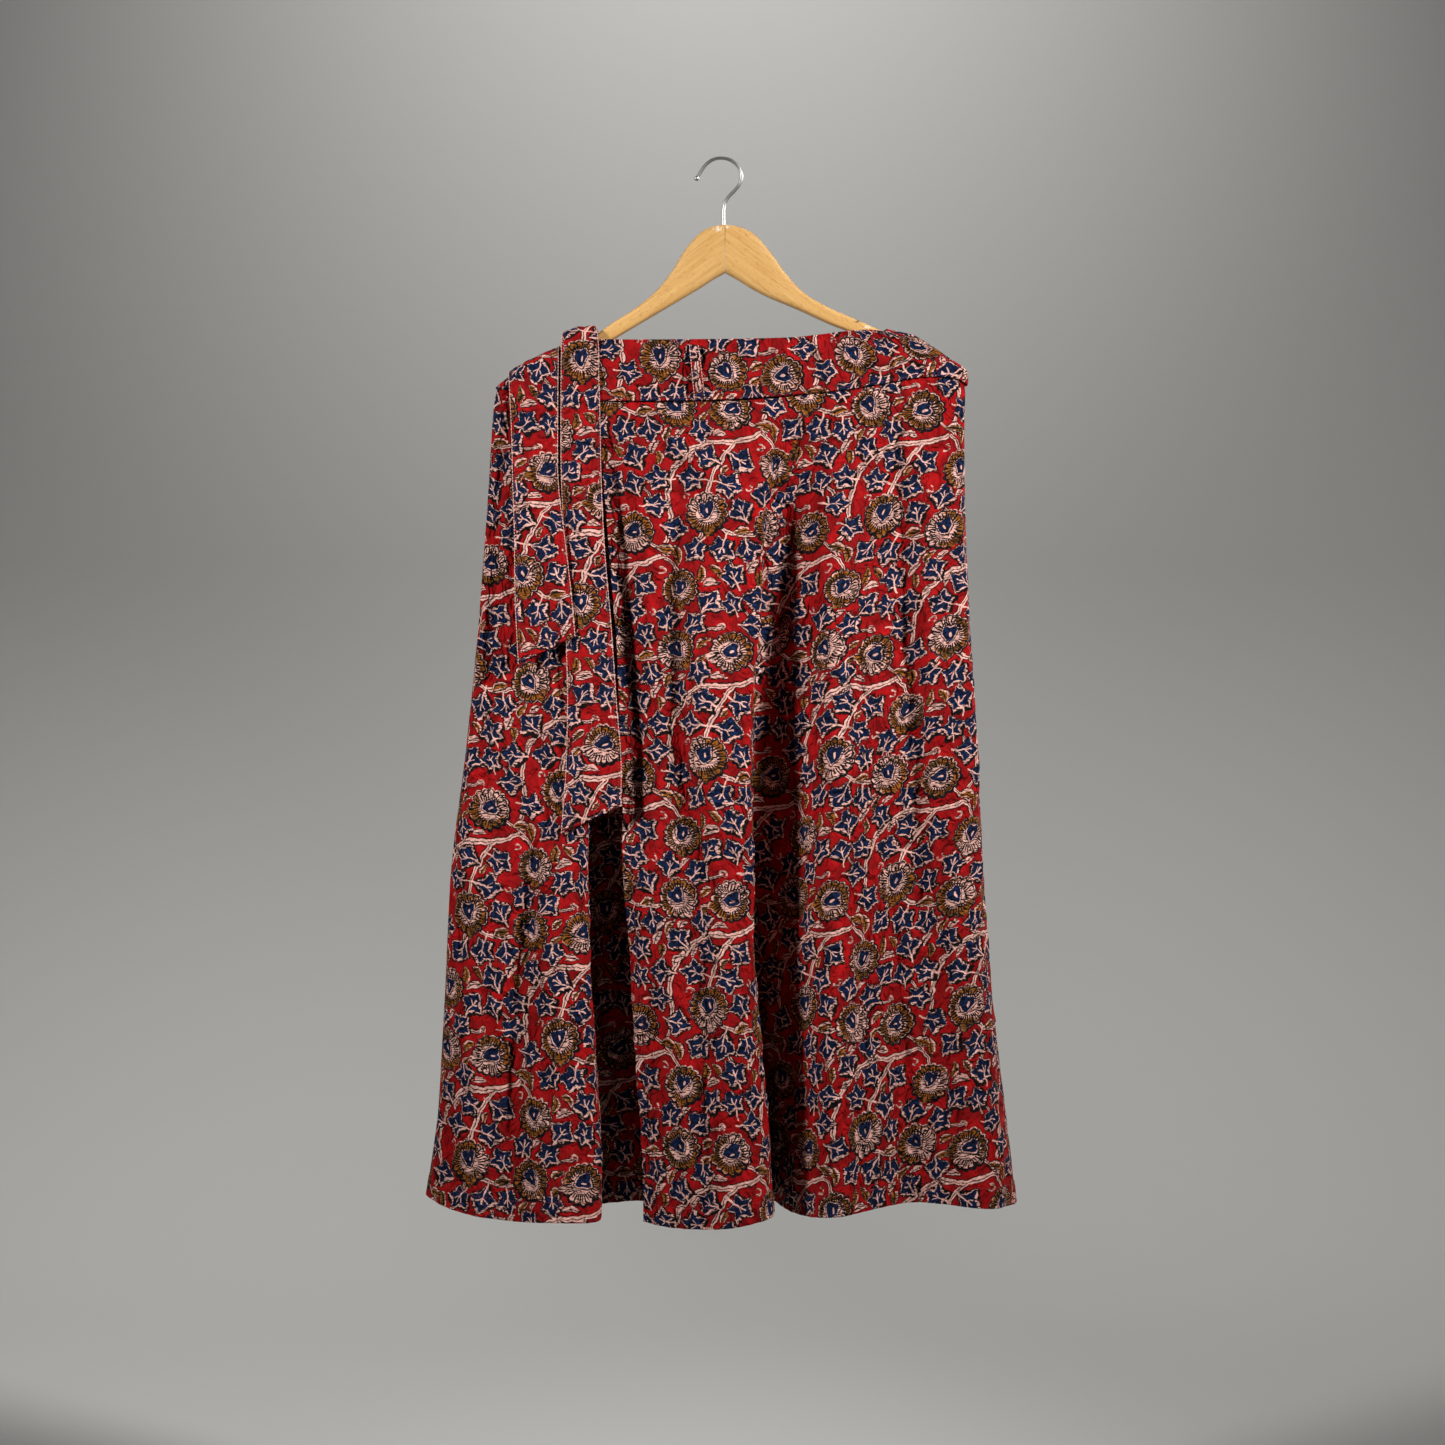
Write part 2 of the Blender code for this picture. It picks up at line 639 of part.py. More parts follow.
def build_hook():
    """Make the wire hook as one bevelled curve, swollen to a ball at its tip."""
    route = np.array([(x, 0.0, z) for x, z in HOOK_ROUTE])
    places = np.linspace(0, len(route) - 1, (len(route) - 1) * HOOK_STEPS + 1)
    points = smooth_through(route, places)
    curve = bpy.data.curves.new("hook", "CURVE")
    curve.dimensions = "3D"
    curve.bevel_depth = WIRE_RADIUS * MM
    curve.bevel_resolution = HOOK_BEVEL_STEPS
    curve.use_fill_caps = True
    spline = curve.splines.new("POLY")
    spline.points.add(len(points) - 1)
    swell = HOOK_BALL_RADIUS / WIRE_RADIUS
    radii = np.ones(len(points))
    radii[:2] = (HOOK_TIP_SHARE * swell, swell)
    for knot, point, radius in zip(spline.points, points, radii):
        knot.co = (*(point * MM), 1.0)
        knot.radius = radius
    curve.materials.append(make_material("hook", PLATED_WIRE))
    hook = bpy.data.objects.new("hook", curve)
    bpy.context.scene.collection.objects.link(hook)


def main():
    """Build every piece of the skirt, the hanger and the hook."""
    clear_scene()
    build_panels()
    build_waistband()
    build_belt_loop()
    build_tie("tie_long", TIE_LONG)
    build_tie("tie_short", TIE_SHORT)
    build_hanger()
    build_hook()


main()
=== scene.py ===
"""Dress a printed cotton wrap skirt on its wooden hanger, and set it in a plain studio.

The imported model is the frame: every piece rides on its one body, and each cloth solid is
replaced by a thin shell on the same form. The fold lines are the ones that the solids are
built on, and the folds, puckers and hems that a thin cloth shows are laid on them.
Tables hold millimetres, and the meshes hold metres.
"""

from __future__ import annotations

import logging
import math
from dataclasses import dataclass
from enum import Enum
from functools import reduce
from operator import or_
from typing import Callable, NamedTuple, Sequence

import bpy
import numpy as np
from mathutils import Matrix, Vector


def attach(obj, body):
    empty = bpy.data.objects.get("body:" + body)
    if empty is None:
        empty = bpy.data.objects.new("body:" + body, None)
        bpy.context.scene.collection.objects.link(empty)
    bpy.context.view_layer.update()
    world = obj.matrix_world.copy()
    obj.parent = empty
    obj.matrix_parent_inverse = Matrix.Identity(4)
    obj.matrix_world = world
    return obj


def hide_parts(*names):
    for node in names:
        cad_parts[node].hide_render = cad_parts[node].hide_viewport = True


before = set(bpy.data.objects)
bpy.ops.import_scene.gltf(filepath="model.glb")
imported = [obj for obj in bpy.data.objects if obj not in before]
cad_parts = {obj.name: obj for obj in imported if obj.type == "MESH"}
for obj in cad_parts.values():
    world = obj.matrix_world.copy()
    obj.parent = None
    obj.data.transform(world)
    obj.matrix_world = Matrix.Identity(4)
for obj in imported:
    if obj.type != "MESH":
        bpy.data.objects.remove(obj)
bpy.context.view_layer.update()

LOG = logging.getLogger("wrap skirt")

MM = 0.001
BODY = "root"
Surface = Callable[[np.ndarray, np.ndarray], np.ndarray]
Socket = bpy.types.NodeSocket
Tree = bpy.types.NodeTree
FLAT = "2D"


# Heights of the two ends of the waistband's lower seam, at the tips of the hanger
LEFT_TIP_Z = -217.0
RIGHT_TIP_Z = -213.0

# Levels at which the folds are given: shares of the way from the seam down to the hem
LEVELS = (0.0, 0.3, 0.6, 1.0)
NOMINAL_WIDTH = 500.0

BACK_SHARES = (0.98, 0.92, 0.83, 0.73, 0.64, 0.55, 0.45, 0.36, 0.27, 0.17, 0.08, 0.02)
BACK_EDGE_DEPTH = (8.0, 10.0, 13.0, 16.0)
BACK_DEPTH = (16.5, 26.0, 37.0, 50.0)
BACK_RIPPLE = (0.0, 3.0, 6.0, 10.0)
BACK_FOLDS = 3
BACK_DROOP = 30.0
BACK_HEM_Z = -981.0
BACK_HEM_RIPPLE = 4.0
BACK_RIM_DEPTH = (7.6, 15.0)
BACK_RIM_DIP = 3.0
BACK_RIM_DROOP = 22.0
BACK_RIM_SPREAD = ((0.0, 0.14, 0.86, 1.0), (0.0, 0.06, 0.94, 1.0))

UNDER_SHARES = (0.40, 0.50, 0.60, 0.70)
UNDER_DEPTH = (-13.2, 2.0, 12.0, 15.0)
UNDER_SEAM_Z = -230.2
UNDER_HEM_Z = -986.0
UNDER_RIM_DEPTH = -11.0
UNDER_RIM_Z = -171.4
UNDER_RIM_SPREAD = ((0.25, 0.70), (-96.0, 84.0))

# The folds over both arms, as x and z, from the rim to the tip
ARM_FOLD_LEFT = (
    (-121.5, -164.0), (-151.5, -179.5), (-181.0, -197.0), (-200.0, -204.6), (-213.0, LEFT_TIP_Z),
)
ARM_FOLD_RIGHT = (
    (156.0, -159.4), (184.0, -167.2), (212.0, -185.4), (233.5, -203.6), (231.5, RIGHT_TIP_Z),
)
ARM_SHARE = 0.16

NORMAL_STEP = 0.04
SMALLEST_STEP = 1e-6

# The skirt's outline: share of the drop, and x at its left and right folds
SIDES = (
    (0.0, ARM_FOLD_LEFT[-1][0], ARM_FOLD_RIGHT[-1][0]),
    (0.04, -216.0, 230.2),
    (0.15, -221.0, 230.8),
    (0.30, -229.5, 235.0),
    (0.45, -241.2, 241.4),
    (0.60, -255.5, 247.5),
    (0.75, -260.8, 255.8),
    (0.90, -267.6, 268.6),
    (1.0, -278.5, 278.0),
)


class FoldLine(NamedTuple):
    """One line down the cloth: an edge, a crest, a valley or a flank between two of them.

    rim is its x, y and z on the band's upper edge. across is its share of the skirt's width
    and depth its y, both at the four LEVELS. seam and hem are the heights of its ends.
    """

    rim: tuple
    across: tuple
    depth: tuple
    seam: float
    hem: float


OUTER_FRONT = (
    FoldLine((-113, -13, -171), (.219, .281, .328, .371), (-17.5, -22, -34, -48), -230.6, -994),
    FoldLine((-92, -14.0, -171.5), (.277, .322, .361, .411), (-18.0, -25, -42, -62), -230.7, -996),
    FoldLine((-45, -15.0, -171.5), (.384, .412, .444, .468), (-18.5, -33, -54, -80), -230.7, -995),
    FoldLine((0, -15.2, -171.2), (.504, .494, .507, .524), (-18.2, -42, -66, -92), -229.0, -991),
    FoldLine((36, -15.0, -170.6), (.576, .562, .556, .576), (-17.8, -40, -58, -76), -227.0, -987),
    FoldLine((50, -14.8, -170.2), (.607, .568, .560, .579), (-17.5, -5, 4, 6), -226.2, -981),
    FoldLine((68, -14.2, -169.4), (.656, .644, .640, .622), (-17.2, -16, -20, -30), -224.0, -989),
    FoldLine((98, -12.8, -166.0), (.746, .722, .714, .684), (-16.0, -34, -57, -80), -219.5, -984),
    FoldLine((124, -11.2, -162.6), (.844, .858, .852, .828), (-12.8, -16, -22, -32), -212.0, -979),
    FoldLine((141, -10.6, -161.8), (.920, .950, .956, .950), (-11.0, -23, -39, -54), -206.8, -981),
    FoldLine((152.5, -8.6, -162.4), (.982, .988, .987, .985), (-8.8, -16, -24, -32), -209, -982),
    FoldLine((156, 0.0, -159.4), (1.0, 1.0, 1.0, 1.0), (0, 0, 0, 0), RIGHT_TIP_Z, -983),
)
LEFT_FRONT = (
    FoldLine((-121.5, 0.0, -164.0), (0.0, 0.0, 0.0, 0.0), (0, 0, 0, 0), LEFT_TIP_Z, -978),
    FoldLine((-120.8, -8.2, -166.2), (.011, .011, .014, .018), (-8.8, -12, -16, -20), -218, -980),
    FoldLine((-119.6, -9.3, -168.2), (.049, .049, .061, .070), (-10.5, -18, -28, -40), -221, -988),
    FoldLine((-117.8, -9.8, -169.2), (.116, .125, .157, .145), (-13.0, -25, -36, -48), -226, -993),
    FoldLine((-115.6, -10.1, -170.4), (.161, .178, .203, .222), (-14.5, -29, -48, -70), -228, -991),
    FoldLine((-112.8, -10.4, -171), (.188, .234, .252, .290), (-15, -28, -44, -62), -230, -992),
    FoldLine((-108, -10.8, -171.4), (.214, .242, .258, .298), (-13.8, -10, 3, 8), -230.6, -988),
)


def back_line(share: float) -> FoldLine:
    """Return the fold line of the plain back.

    Its depth is a lens across the width, the square root of a half sine, plus a ripple.

    Args:
        share: the line's share of the way from the left fold to the right one.
    """
    belly = math.sin(math.pi * share)
    lens = math.sqrt(belly)
    ripple = belly * math.cos(2 * math.pi * BACK_FOLDS * share)
    depth = tuple(
        edge + (deep - edge) * lens + wave * ripple
        for edge, deep, wave in zip(BACK_EDGE_DEPTH, BACK_DEPTH, BACK_RIPPLE)
    )
    tip = LEFT_TIP_Z + (RIGHT_TIP_Z - LEFT_TIP_Z) * share
    rim_share = np.interp(share, *BACK_RIM_SPREAD)
    rim_x, rim_z = (
        left + (right - left) * rim_share
        for left, right in zip(ARM_FOLD_LEFT[0], ARM_FOLD_RIGHT[0])
    )
    edge, deep = BACK_RIM_DEPTH
    rim = (rim_x, edge + (deep - edge) * lens, rim_z - BACK_RIM_DIP - BACK_RIM_DROOP * belly)
    seam, hem = tip - BACK_DROOP * belly, BACK_HEM_Z - BACK_HEM_RIPPLE * ripple
    return FoldLine(rim, (share,) * len(LEVELS), depth, seam, hem)


def under_line(share: float) -> FoldLine:
    """Return the fold line of the under panel at this share, behind the outer panel."""
    rim = (np.interp(share, *UNDER_RIM_SPREAD), UNDER_RIM_DEPTH, UNDER_RIM_Z)
    return FoldLine(rim, (share,) * len(LEVELS), UNDER_DEPTH, UNDER_SEAM_Z, UNDER_HEM_Z)


LINES = (
    *OUTER_FRONT,
    *(back_line(share) for share in BACK_SHARES),
    *LEFT_FRONT,
    *(under_line(share) for share in UNDER_SHARES),
)
RIGHT_FOLD = len(OUTER_FRONT) - 1
LEFT_FOLD = len(OUTER_FRONT) + len(BACK_SHARES)
LAST_LINE = len(LINES) - 1


def smooth_through(points: Sequence, places: Sequence) -> np.ndarray:
    """Read a smooth curve through the points.

    Each span is a cubic whose end slopes are the mean rates of the spans on both sides,
    weighted by their lengths, so that a short span beside a long one doesn't swing out.

    Args:
        points: array whose first axis runs along the curve and last holds coordinates.
        places: where to read it, counted in whole points.

    Returns:
        One row for each place.
    """
    points = np.asarray(points, dtype=float)
    steps = np.linalg.norm(np.diff(points, axis=0), axis=-1, keepdims=True)
    steps = np.maximum(steps, SMALLEST_STEP)
    rates = np.diff(points, axis=0) / steps
    inner = (steps[1:] * rates[:-1] + steps[:-1] * rates[1:]) / (steps[1:] + steps[:-1])
    slopes = np.concatenate([rates[:1], inner, rates[-1:]])
    places = np.clip(np.asarray(places, dtype=float), 0, len(points) - 1)
    first = np.minimum(places.astype(int), len(points) - 2)
    share = (places - first).reshape((-1,) + (1,) * (points.ndim - 1))
    start, end, step = points[first], points[first + 1], steps[first]
    turn = share * share * (3 - 2 * share)
    leave = share * (1 - share) ** 2 * step * slopes[first]
    arrive = share * share * (share - 1) * step * slopes[first + 1]
    return start + (end - start) * turn + leave + arrive


def control_rows() -> tuple[np.ndarray, np.ndarray]:
    """Return the fold lines' points at the rim, and at the four levels below the seam."""
    rim = np.array([line.rim for line in LINES], dtype=float)
    across = np.array([line.across for line in LINES])
    depth = np.array([line.depth for line in LINES], dtype=float)
    seam = np.array([line.seam for line in LINES])[:, None]
    hem = np.array([line.hem for line in LINES])[:, None]
    height = seam + (hem - seam) * np.array(LEVELS)
    return rim, np.stack([across * NOMINAL_WIDTH, depth, height], axis=-1)


RIM_ROW, PANEL_NET = control_rows()


def panel_surface(places: np.ndarray, drops: np.ndarray) -> np.ndarray:
    """Return the skirt's outer face: places count fold lines, drops go from seam to hem.

    A cubic is read across the fold lines at each level, then one down the levels, and the
    widths between the side folds are stretched to the outline in SIDES.
    """
    levels = smooth_through(PANEL_NET, places)
    rows = np.interp(drops, LEVELS, range(len(LEVELS)))
    face = smooth_through(levels.swapaxes(0, 1), rows).swapaxes(0, 1)
    side_rows = np.interp(drops, [row[0] for row in SIDES], range(len(SIDES)))
    sides = smooth_through([row[1:] for row in SIDES], side_rows)
    left, right = sides[:, 0], sides[:, 1]
    face[..., 0] = left + (right - left) * face[..., 0] / NOMINAL_WIDTH
    return face


def arm_bulge(fold: Sequence, drops: np.ndarray) -> np.ndarray:
    """Return how far the fold over an arm lies from a straight line between its ends."""
    fold = np.array(fold)
    places = drops * (len(fold) - 1)
    bulge = smooth_through(fold, places) - (fold[0] + (fold[-1] - fold[0]) * drops[:, None])
    return np.stack([bulge[:, 0], np.zeros(len(drops)), bulge[:, 1]], axis=-1)


def band_surface(places: np.ndarray, drops: np.ndarray) -> np.ndarray:
    """Return the waistband's outer face: places count fold lines, drops go from rim to seam.

    The face is straight from the rim to the seam, and near both tips it also follows the
    fold over the arm, which fades out with the distance from the tip.
    """
    drops = np.asarray(drops, dtype=float)
    rim = smooth_through(RIM_ROW, places)[:, None]
    seam = panel_surface(places, np.zeros(1))
    left, right = SIDES[0][1:]
    share = (seam[..., :1] - left) / (right - left)
    near_left = np.clip(1 - share / ARM_SHARE, 0, 1)
    near_right = np.clip(1 - (1 - share) / ARM_SHARE, 0, 1)
    face = rim + (seam - rim) * drops[:, None]
    face += near_left * arm_bulge(ARM_FOLD_LEFT, drops)
    face += near_right * arm_bulge(ARM_FOLD_RIGHT, drops)
    return face


def unit(vectors: np.ndarray) -> np.ndarray:
    """Return the vectors' directions, at length 1."""
    return vectors / np.linalg.norm(vectors, axis=-1, keepdims=True)


def run_length(points: np.ndarray, axis: int = 0) -> np.ndarray:
    """Return the length run along one axis of a line or grid of points, from 0 at its start."""
    steps = np.linalg.norm(np.diff(points, axis=axis), axis=-1)
    start = np.zeros_like(np.take(steps, [0], axis=axis))
    return np.concatenate([start, np.cumsum(steps, axis=axis)], axis=axis)


def read_at(line: np.ndarray, length: np.ndarray, marks: np.ndarray) -> np.ndarray:
    """Return the points of a line at these marks along its length."""
    return np.stack([np.interp(marks, length, values) for values in line.T], axis=-1)


def nearest(values: np.ndarray, wanted: float) -> int:
    """Return the index of the value nearest to the wanted one."""
    return int(np.argmin(np.abs(np.asarray(values) - wanted)))


def outward(face: np.ndarray) -> np.ndarray:
    """Return the normals of a grid whose first axis runs along a strip and second down it."""
    return unit(np.cross(np.gradient(face, axis=1), np.gradient(face, axis=0)))


def strip_normals(surface: Surface, places: np.ndarray, drops: np.ndarray) -> np.ndarray:
    """Return a strip's normals at these places, alike on both sides of a side seam."""
    along = surface(places + NORMAL_STEP, drops) - surface(places - NORMAL_STEP, drops)
    return unit(np.cross(np.gradient(surface(places, drops), drops, axis=1), along))


def evened(normals: np.ndarray) -> np.ndarray:
    """Return normals evened out between neighbours along the strip and down it."""
    padded = np.pad(normals, ((1, 1), (1, 1), (0, 0)), mode="edge")
    across = padded[:-2] + 2 * padded[1:-1] + padded[2:]
    return unit(across[:, :-2] + 2 * across[:, 1:-1] + across[:, 2:])


def ease(value: np.ndarray) -> np.ndarray:
    """Return a smooth step: 3 x squared less 2 x cubed, held between 0 and 1."""
    value = np.clip(value, 0, 1)
    return value * value * (3 - 2 * value)


# Steps to a fold line where the length along a strip is measured
FINE_STEPS = 40


def spread(
    surface: Surface, first: float, last: float, drop: float, pitch: float, edges: Sequence
) -> np.ndarray:
    """Return places that lie a pitch apart along the cloth, and closer at its free edges.

    Args:
        surface: the strip's surface.
        first: the place of the cloth's first edge.
        last: the place of its last edge.
        drop: the level at which the pitch is measured.
        pitch: the distance between two places.
        edges: (at the first edge, at the last one) true where that edge is free.
    """
    fine = np.linspace(first, last, FINE_STEPS * round(last - first + 1))
    length = run_length(surface(fine, np.array([drop]))[:, 0])
    marks = np.linspace(0, length[-1], max(2, round(length[-1] / pitch)) + 1)
    return np.interp(edge_marks(marks, *edges), length, fine)


# How far from a free edge the marks lie that round it
EDGE_ROLL = (0.15, 0.4, 0.8, 1.6)


def edge_marks(marks: np.ndarray, first: bool, last: bool) -> np.ndarray:
    """Add marks close to the ends that are free edges, so that they can be rolled round."""
    extra = [marks]
    if first:
        extra.append(marks[0] + np.array(EDGE_ROLL))
    if last:
        extra.append(marks[-1] - np.array(EDGE_ROLL))
    return np.unique(np.concatenate(extra))


def flat_map(face: np.ndarray, anchor: int, level: int = 0) -> np.ndarray:
    """Return where each point of a draped grid lies on the flat cloth.

    The first value is the length along its row from the anchor column, whose own value is
    its x. The second is its height at the level row, less the length down its column from
    there, so that the print stands upright and isn't stretched.

    Args:
        face: grid of points, along the strip and down it.
        anchor: the column that the lengths along the rows are counted from.
        level: the row that the lengths down the columns are counted from.
    """
    along, down = run_length(face, 0), run_length(face, 1)
    middle = face[anchor, :, 0] - along[anchor]
    from_level = down - down[:, level:level + 1]
    return np.stack([along + middle, face[:, level:level + 1, 2] - from_level], axis=-1)


class Crease(NamedTuple):
    """One listed soft fold: its course as x and z, its height and half width.

    A height over zero is a ridge and one under zero a trough. It swells from nothing at
    both ends of its course. lean makes its left side steeper and its right side longer.
    """

    course: tuple
    height: float
    width: float
    lean: float = 0.0


def crease_table(*rows: tuple) -> tuple[Crease, ...]:
    """Return the creases of a table: each row's course, height, half width and lean."""
    return tuple(Crease(*row) for row in rows)


SHOULDER, SHOULDER_PLACE, SHOULDER_SHARPNESS = 0.35, 1.9, 1.4
SWELL_POWER = 0.7


def crease_lift(face: np.ndarray, creases: Sequence[Crease]) -> np.ndarray:
    """Return how far the creases lift each point of a grid.

    Across its course a crease is a bell, exp(-(d / w)^2), with a shallow shoulder of the
    other sign beside it. Along its course it is a half sine to the power 0.7.
    """
    lift = np.zeros(face.shape[:2])
    x, z = face[..., 0], face[..., 2]
    for crease in creases:
        course = np.array(sorted(crease.course, key=lambda point: point[1]), dtype=float)
        middle = np.interp(z, course[:, 1], course[:, 0])
        lean = np.hypot(np.ptp(course[:, 0]), np.ptp(course[:, 1])) / np.ptp(course[:, 1])
        off = (x - middle) / lean / crease.width
        off /= 1 + crease.lean * np.tanh(off)
        beside = (np.abs(off) - SHOULDER_PLACE) ** 2
        bell = np.exp(-off * off) - SHOULDER * np.exp(-beside * SHOULDER_SHARPNESS)
        share = np.clip((z - course[0, 1]) / np.ptp(course[:, 1]), 0, 1)
        lift += crease.height * bell * np.sin(np.pi * share) ** SWELL_POWER
    return lift


WAVES = 9


def unevenness(
    flat: np.ndarray, seed: int, size: float, across: float, down: float
) -> np.ndarray:
    """Return a soft unevenness: a sum of waves, each with its own direction and phase.

    Args:
        flat: grid of flat cloth points.
        seed: fixes the waves.
        size: the height that the waves reach together, about.
        across: the mean wavelength across the cloth.
        down: the mean wavelength down it.
    """
    draw = np.random.default_rng(seed)
    total = np.zeros(flat.shape[:2])
    for _ in range(WAVES):
        k_across = 2 * np.pi / (across * draw.uniform(0.6, 1.7)) * draw.choice([-1, 1])
        k_down = 2 * np.pi / (down * draw.uniform(0.6, 1.7))
        phase = draw.uniform(0, 2 * np.pi)
        turn = flat[..., 0] * k_across + flat[..., 1] * k_down + phase
        total += draw.uniform(0.5, 1) * np.sin(turn)
    return size * total / math.sqrt(WAVES)


PUCKER_ACROSS, PUCKER_DOWN = 11.0, 90.0


def puckers(
    flat: np.ndarray, from_edge: np.ndarray, seed: int, size: float, reach: float
) -> np.ndarray:
    """Return the small puckers beside a seam, which fade with the distance from it.

    Args:
        flat: grid of flat cloth points.
        from_edge: each point's distance from the seam.
        seed: fixes the puckers.
        size: their height at the seam, about.
        reach: the distance at which they have sunk to a third of it.
    """
    waves = unevenness(flat, seed, size, PUCKER_ACROSS, PUCKER_DOWN)
    return waves * np.exp(-from_edge / reach)


def ridge(distance: np.ndarray, place: float, height: float, width: float = 0.9) -> np.ndarray:
    """Return a ridge along a seam: its height times exp(-((distance less place) / width)^2)."""
    return height * np.exp(-((distance - place) / width) ** 2)


def report(made: bpy.types.Object) -> None:
    """Log a piece that was built."""
    LOG.info("%s: %d faces", made.name, len(made.data.polygons))


def add_object(name: str, mesh: bpy.types.Mesh) -> bpy.types.Object:
    """Put a mesh into the scene as a piece that rides on the skirt's one body."""
    made = bpy.data.objects.new(name, mesh)
    bpy.context.scene.collection.objects.link(made)
    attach(made, BODY)
    return made


def grid_faces(count: int, rows: int) -> np.ndarray:
    """Return the quads of a grid whose points are numbered row by row."""
    start = (np.arange(count - 1)[:, None] * rows + np.arange(rows - 1)).reshape(-1)
    return np.stack([start, start + 1, start + rows + 1, start + rows], axis=-1)


def shell_mesh(
    name: str, outer: np.ndarray, inner: np.ndarray, flat: np.ndarray
) -> bpy.types.Mesh:
    """Make a closed shell from its two faces, with a UV map in metres of flat cloth.

    Args:
        name: the mesh's name.
        outer: grid of the outer face, in millimetres.
        inner: grid of the inner face, in millimetres.
        flat: grid of flat cloth points, in millimetres.
    """
    count, rows = outer.shape[:2]
    points = np.concatenate([outer.reshape(-1, 3), inner.reshape(-1, 3)]) * MM
    behind = count * rows
    front = grid_faces(count, rows)
    columns, last = np.arange(count) * rows, (count - 1) * rows
    around = np.concatenate([
        columns, last + np.arange(1, rows), columns[-2::-1] + rows - 1, np.arange(rows - 2, 0, -1),
    ])
    after = np.roll(around, -1)
    rim = np.stack([around, after, after + behind, around + behind], axis=-1)
    faces = np.concatenate([front, front[:, ::-1] + behind, rim])
    mesh = bpy.data.meshes.new(name)
    mesh.from_pydata(points.tolist(), [], faces.tolist())
    mesh.shade_smooth()
    corners = np.empty(len(mesh.loops), dtype=np.int32)
    mesh.loops.foreach_get("vertex_index", corners)
    places = np.concatenate([flat.reshape(-1, 2)] * 2) * MM
    cloth_map = mesh.uv_layers.new(name="flat cloth")
    cloth_map.data.foreach_set("uv", places[corners].reshape(-1))
    reverse = np.zeros(len(faces))
    reverse[len(front):2 * len(front)] = 1.0
    face_values(mesh, "reverse side", reverse)
    return mesh


def face_values(mesh: bpy.types.Mesh, name: str, values: np.ndarray) -> None:
    """Store one number, or one row of three numbers, for each face of a mesh."""
    if values.ndim == 1:
        mesh.attributes.new(name, "FLOAT", "FACE").data.foreach_set("value", values)
    else:
        store = mesh.attributes.new(name, "FLOAT_VECTOR", "FACE")
        store.data.foreach_set("vector", values.reshape(-1))


ROUNDNESS = 0.96


def rolled(from_edge: np.ndarray, wall: np.ndarray | float) -> np.ndarray:
    """Return how far a face sinks towards the middle of its wall near a free edge.

    The edge is a half round as thick as the wall: r less the root of r^2 - (r - e)^2.
    """
    radius = wall / 2
    short = np.clip(1 - from_edge / radius, 0, 1)
    return radius * (1 - np.sqrt(1 - ROUNDNESS * short * short))


class Figure(Enum):
    """The printed figures, numbered as the material reads them."""

    ROSETTE = 1
    LEAF = 2
    BROWN_LEAF = 3
    CURL = 4
    PALE_LEAF = 5


FIGURE_REACH = {
    Figure.ROSETTE: 17.5, Figure.LEAF: 9.8, Figure.BROWN_LEAF: 5.8, Figure.PALE_LEAF: 5.8,
    Figure.CURL: 4.0,
}

# The figures of the repeat: across, up, turn in degrees and size
CHART = {
    Figure.ROSETTE: (
        (-27, -66, 4, 1.22), (36, -80, 38, 1.18), (40, -22, -8, 1.12), (-5, 32, -76, 1.2),
    ),
    Figure.LEAF: (
        (-56, -4, 41, 1.2), (-33, 14, 187, 1.15), (-27, -14, 67, 1.15), (-41, -34, 80, 1.2),
        (-76, -58, -89, 1.15), (-73, -33, 84, 1.15), (-7, -41, -104, 1.25), (4, -17, -122, 1.2),
        (5, -65, 30, 1.15), (27, -50, -7, 1.2), (54, -57, -47, 1.2), (-57, -80, -103, 1.15),
        (-13, -101, 163, 1.25), (-37, -101, 144, 1.15), (11, -102, 190, 1.2), (-2, -127, 25, 1.2),
        (68, -37, -35, 1.15), (89, -38, 20, 1.05),
    ),
    Figure.BROWN_LEAF: (
        (-72, -13, 10, 0.95), (27, 15, 75, 1.15), (6, -84, 105, 1.05), (-56, -104, 20, 1.1),
        (-31, -126, -10, 1.05), (-18, -122, 35, 0.9), (63, -75, 125, 0.95), (61, -91, 135, 0.9),
        (27, -107, 150, 0.95), (-11, -26, 150, 0.8),
    ),
    Figure.PALE_LEAF: (
        (-57, -22, 135, 0.85), (15, -118, 150, 0.95), (-42, -14, 150, 0.7), (69, -19, 105, 1.0),
        (-16, 9, 90, 0.85), (39, -105, 135, 0.75), (42, -46, 135, 0.7),
    ),
    Figure.CURL: ((13, -43, 0, 0.9), (-46, -51, 120, 0.95), (79, -60, 140, 1.0), (22, -4, 40, 1.0)),
}

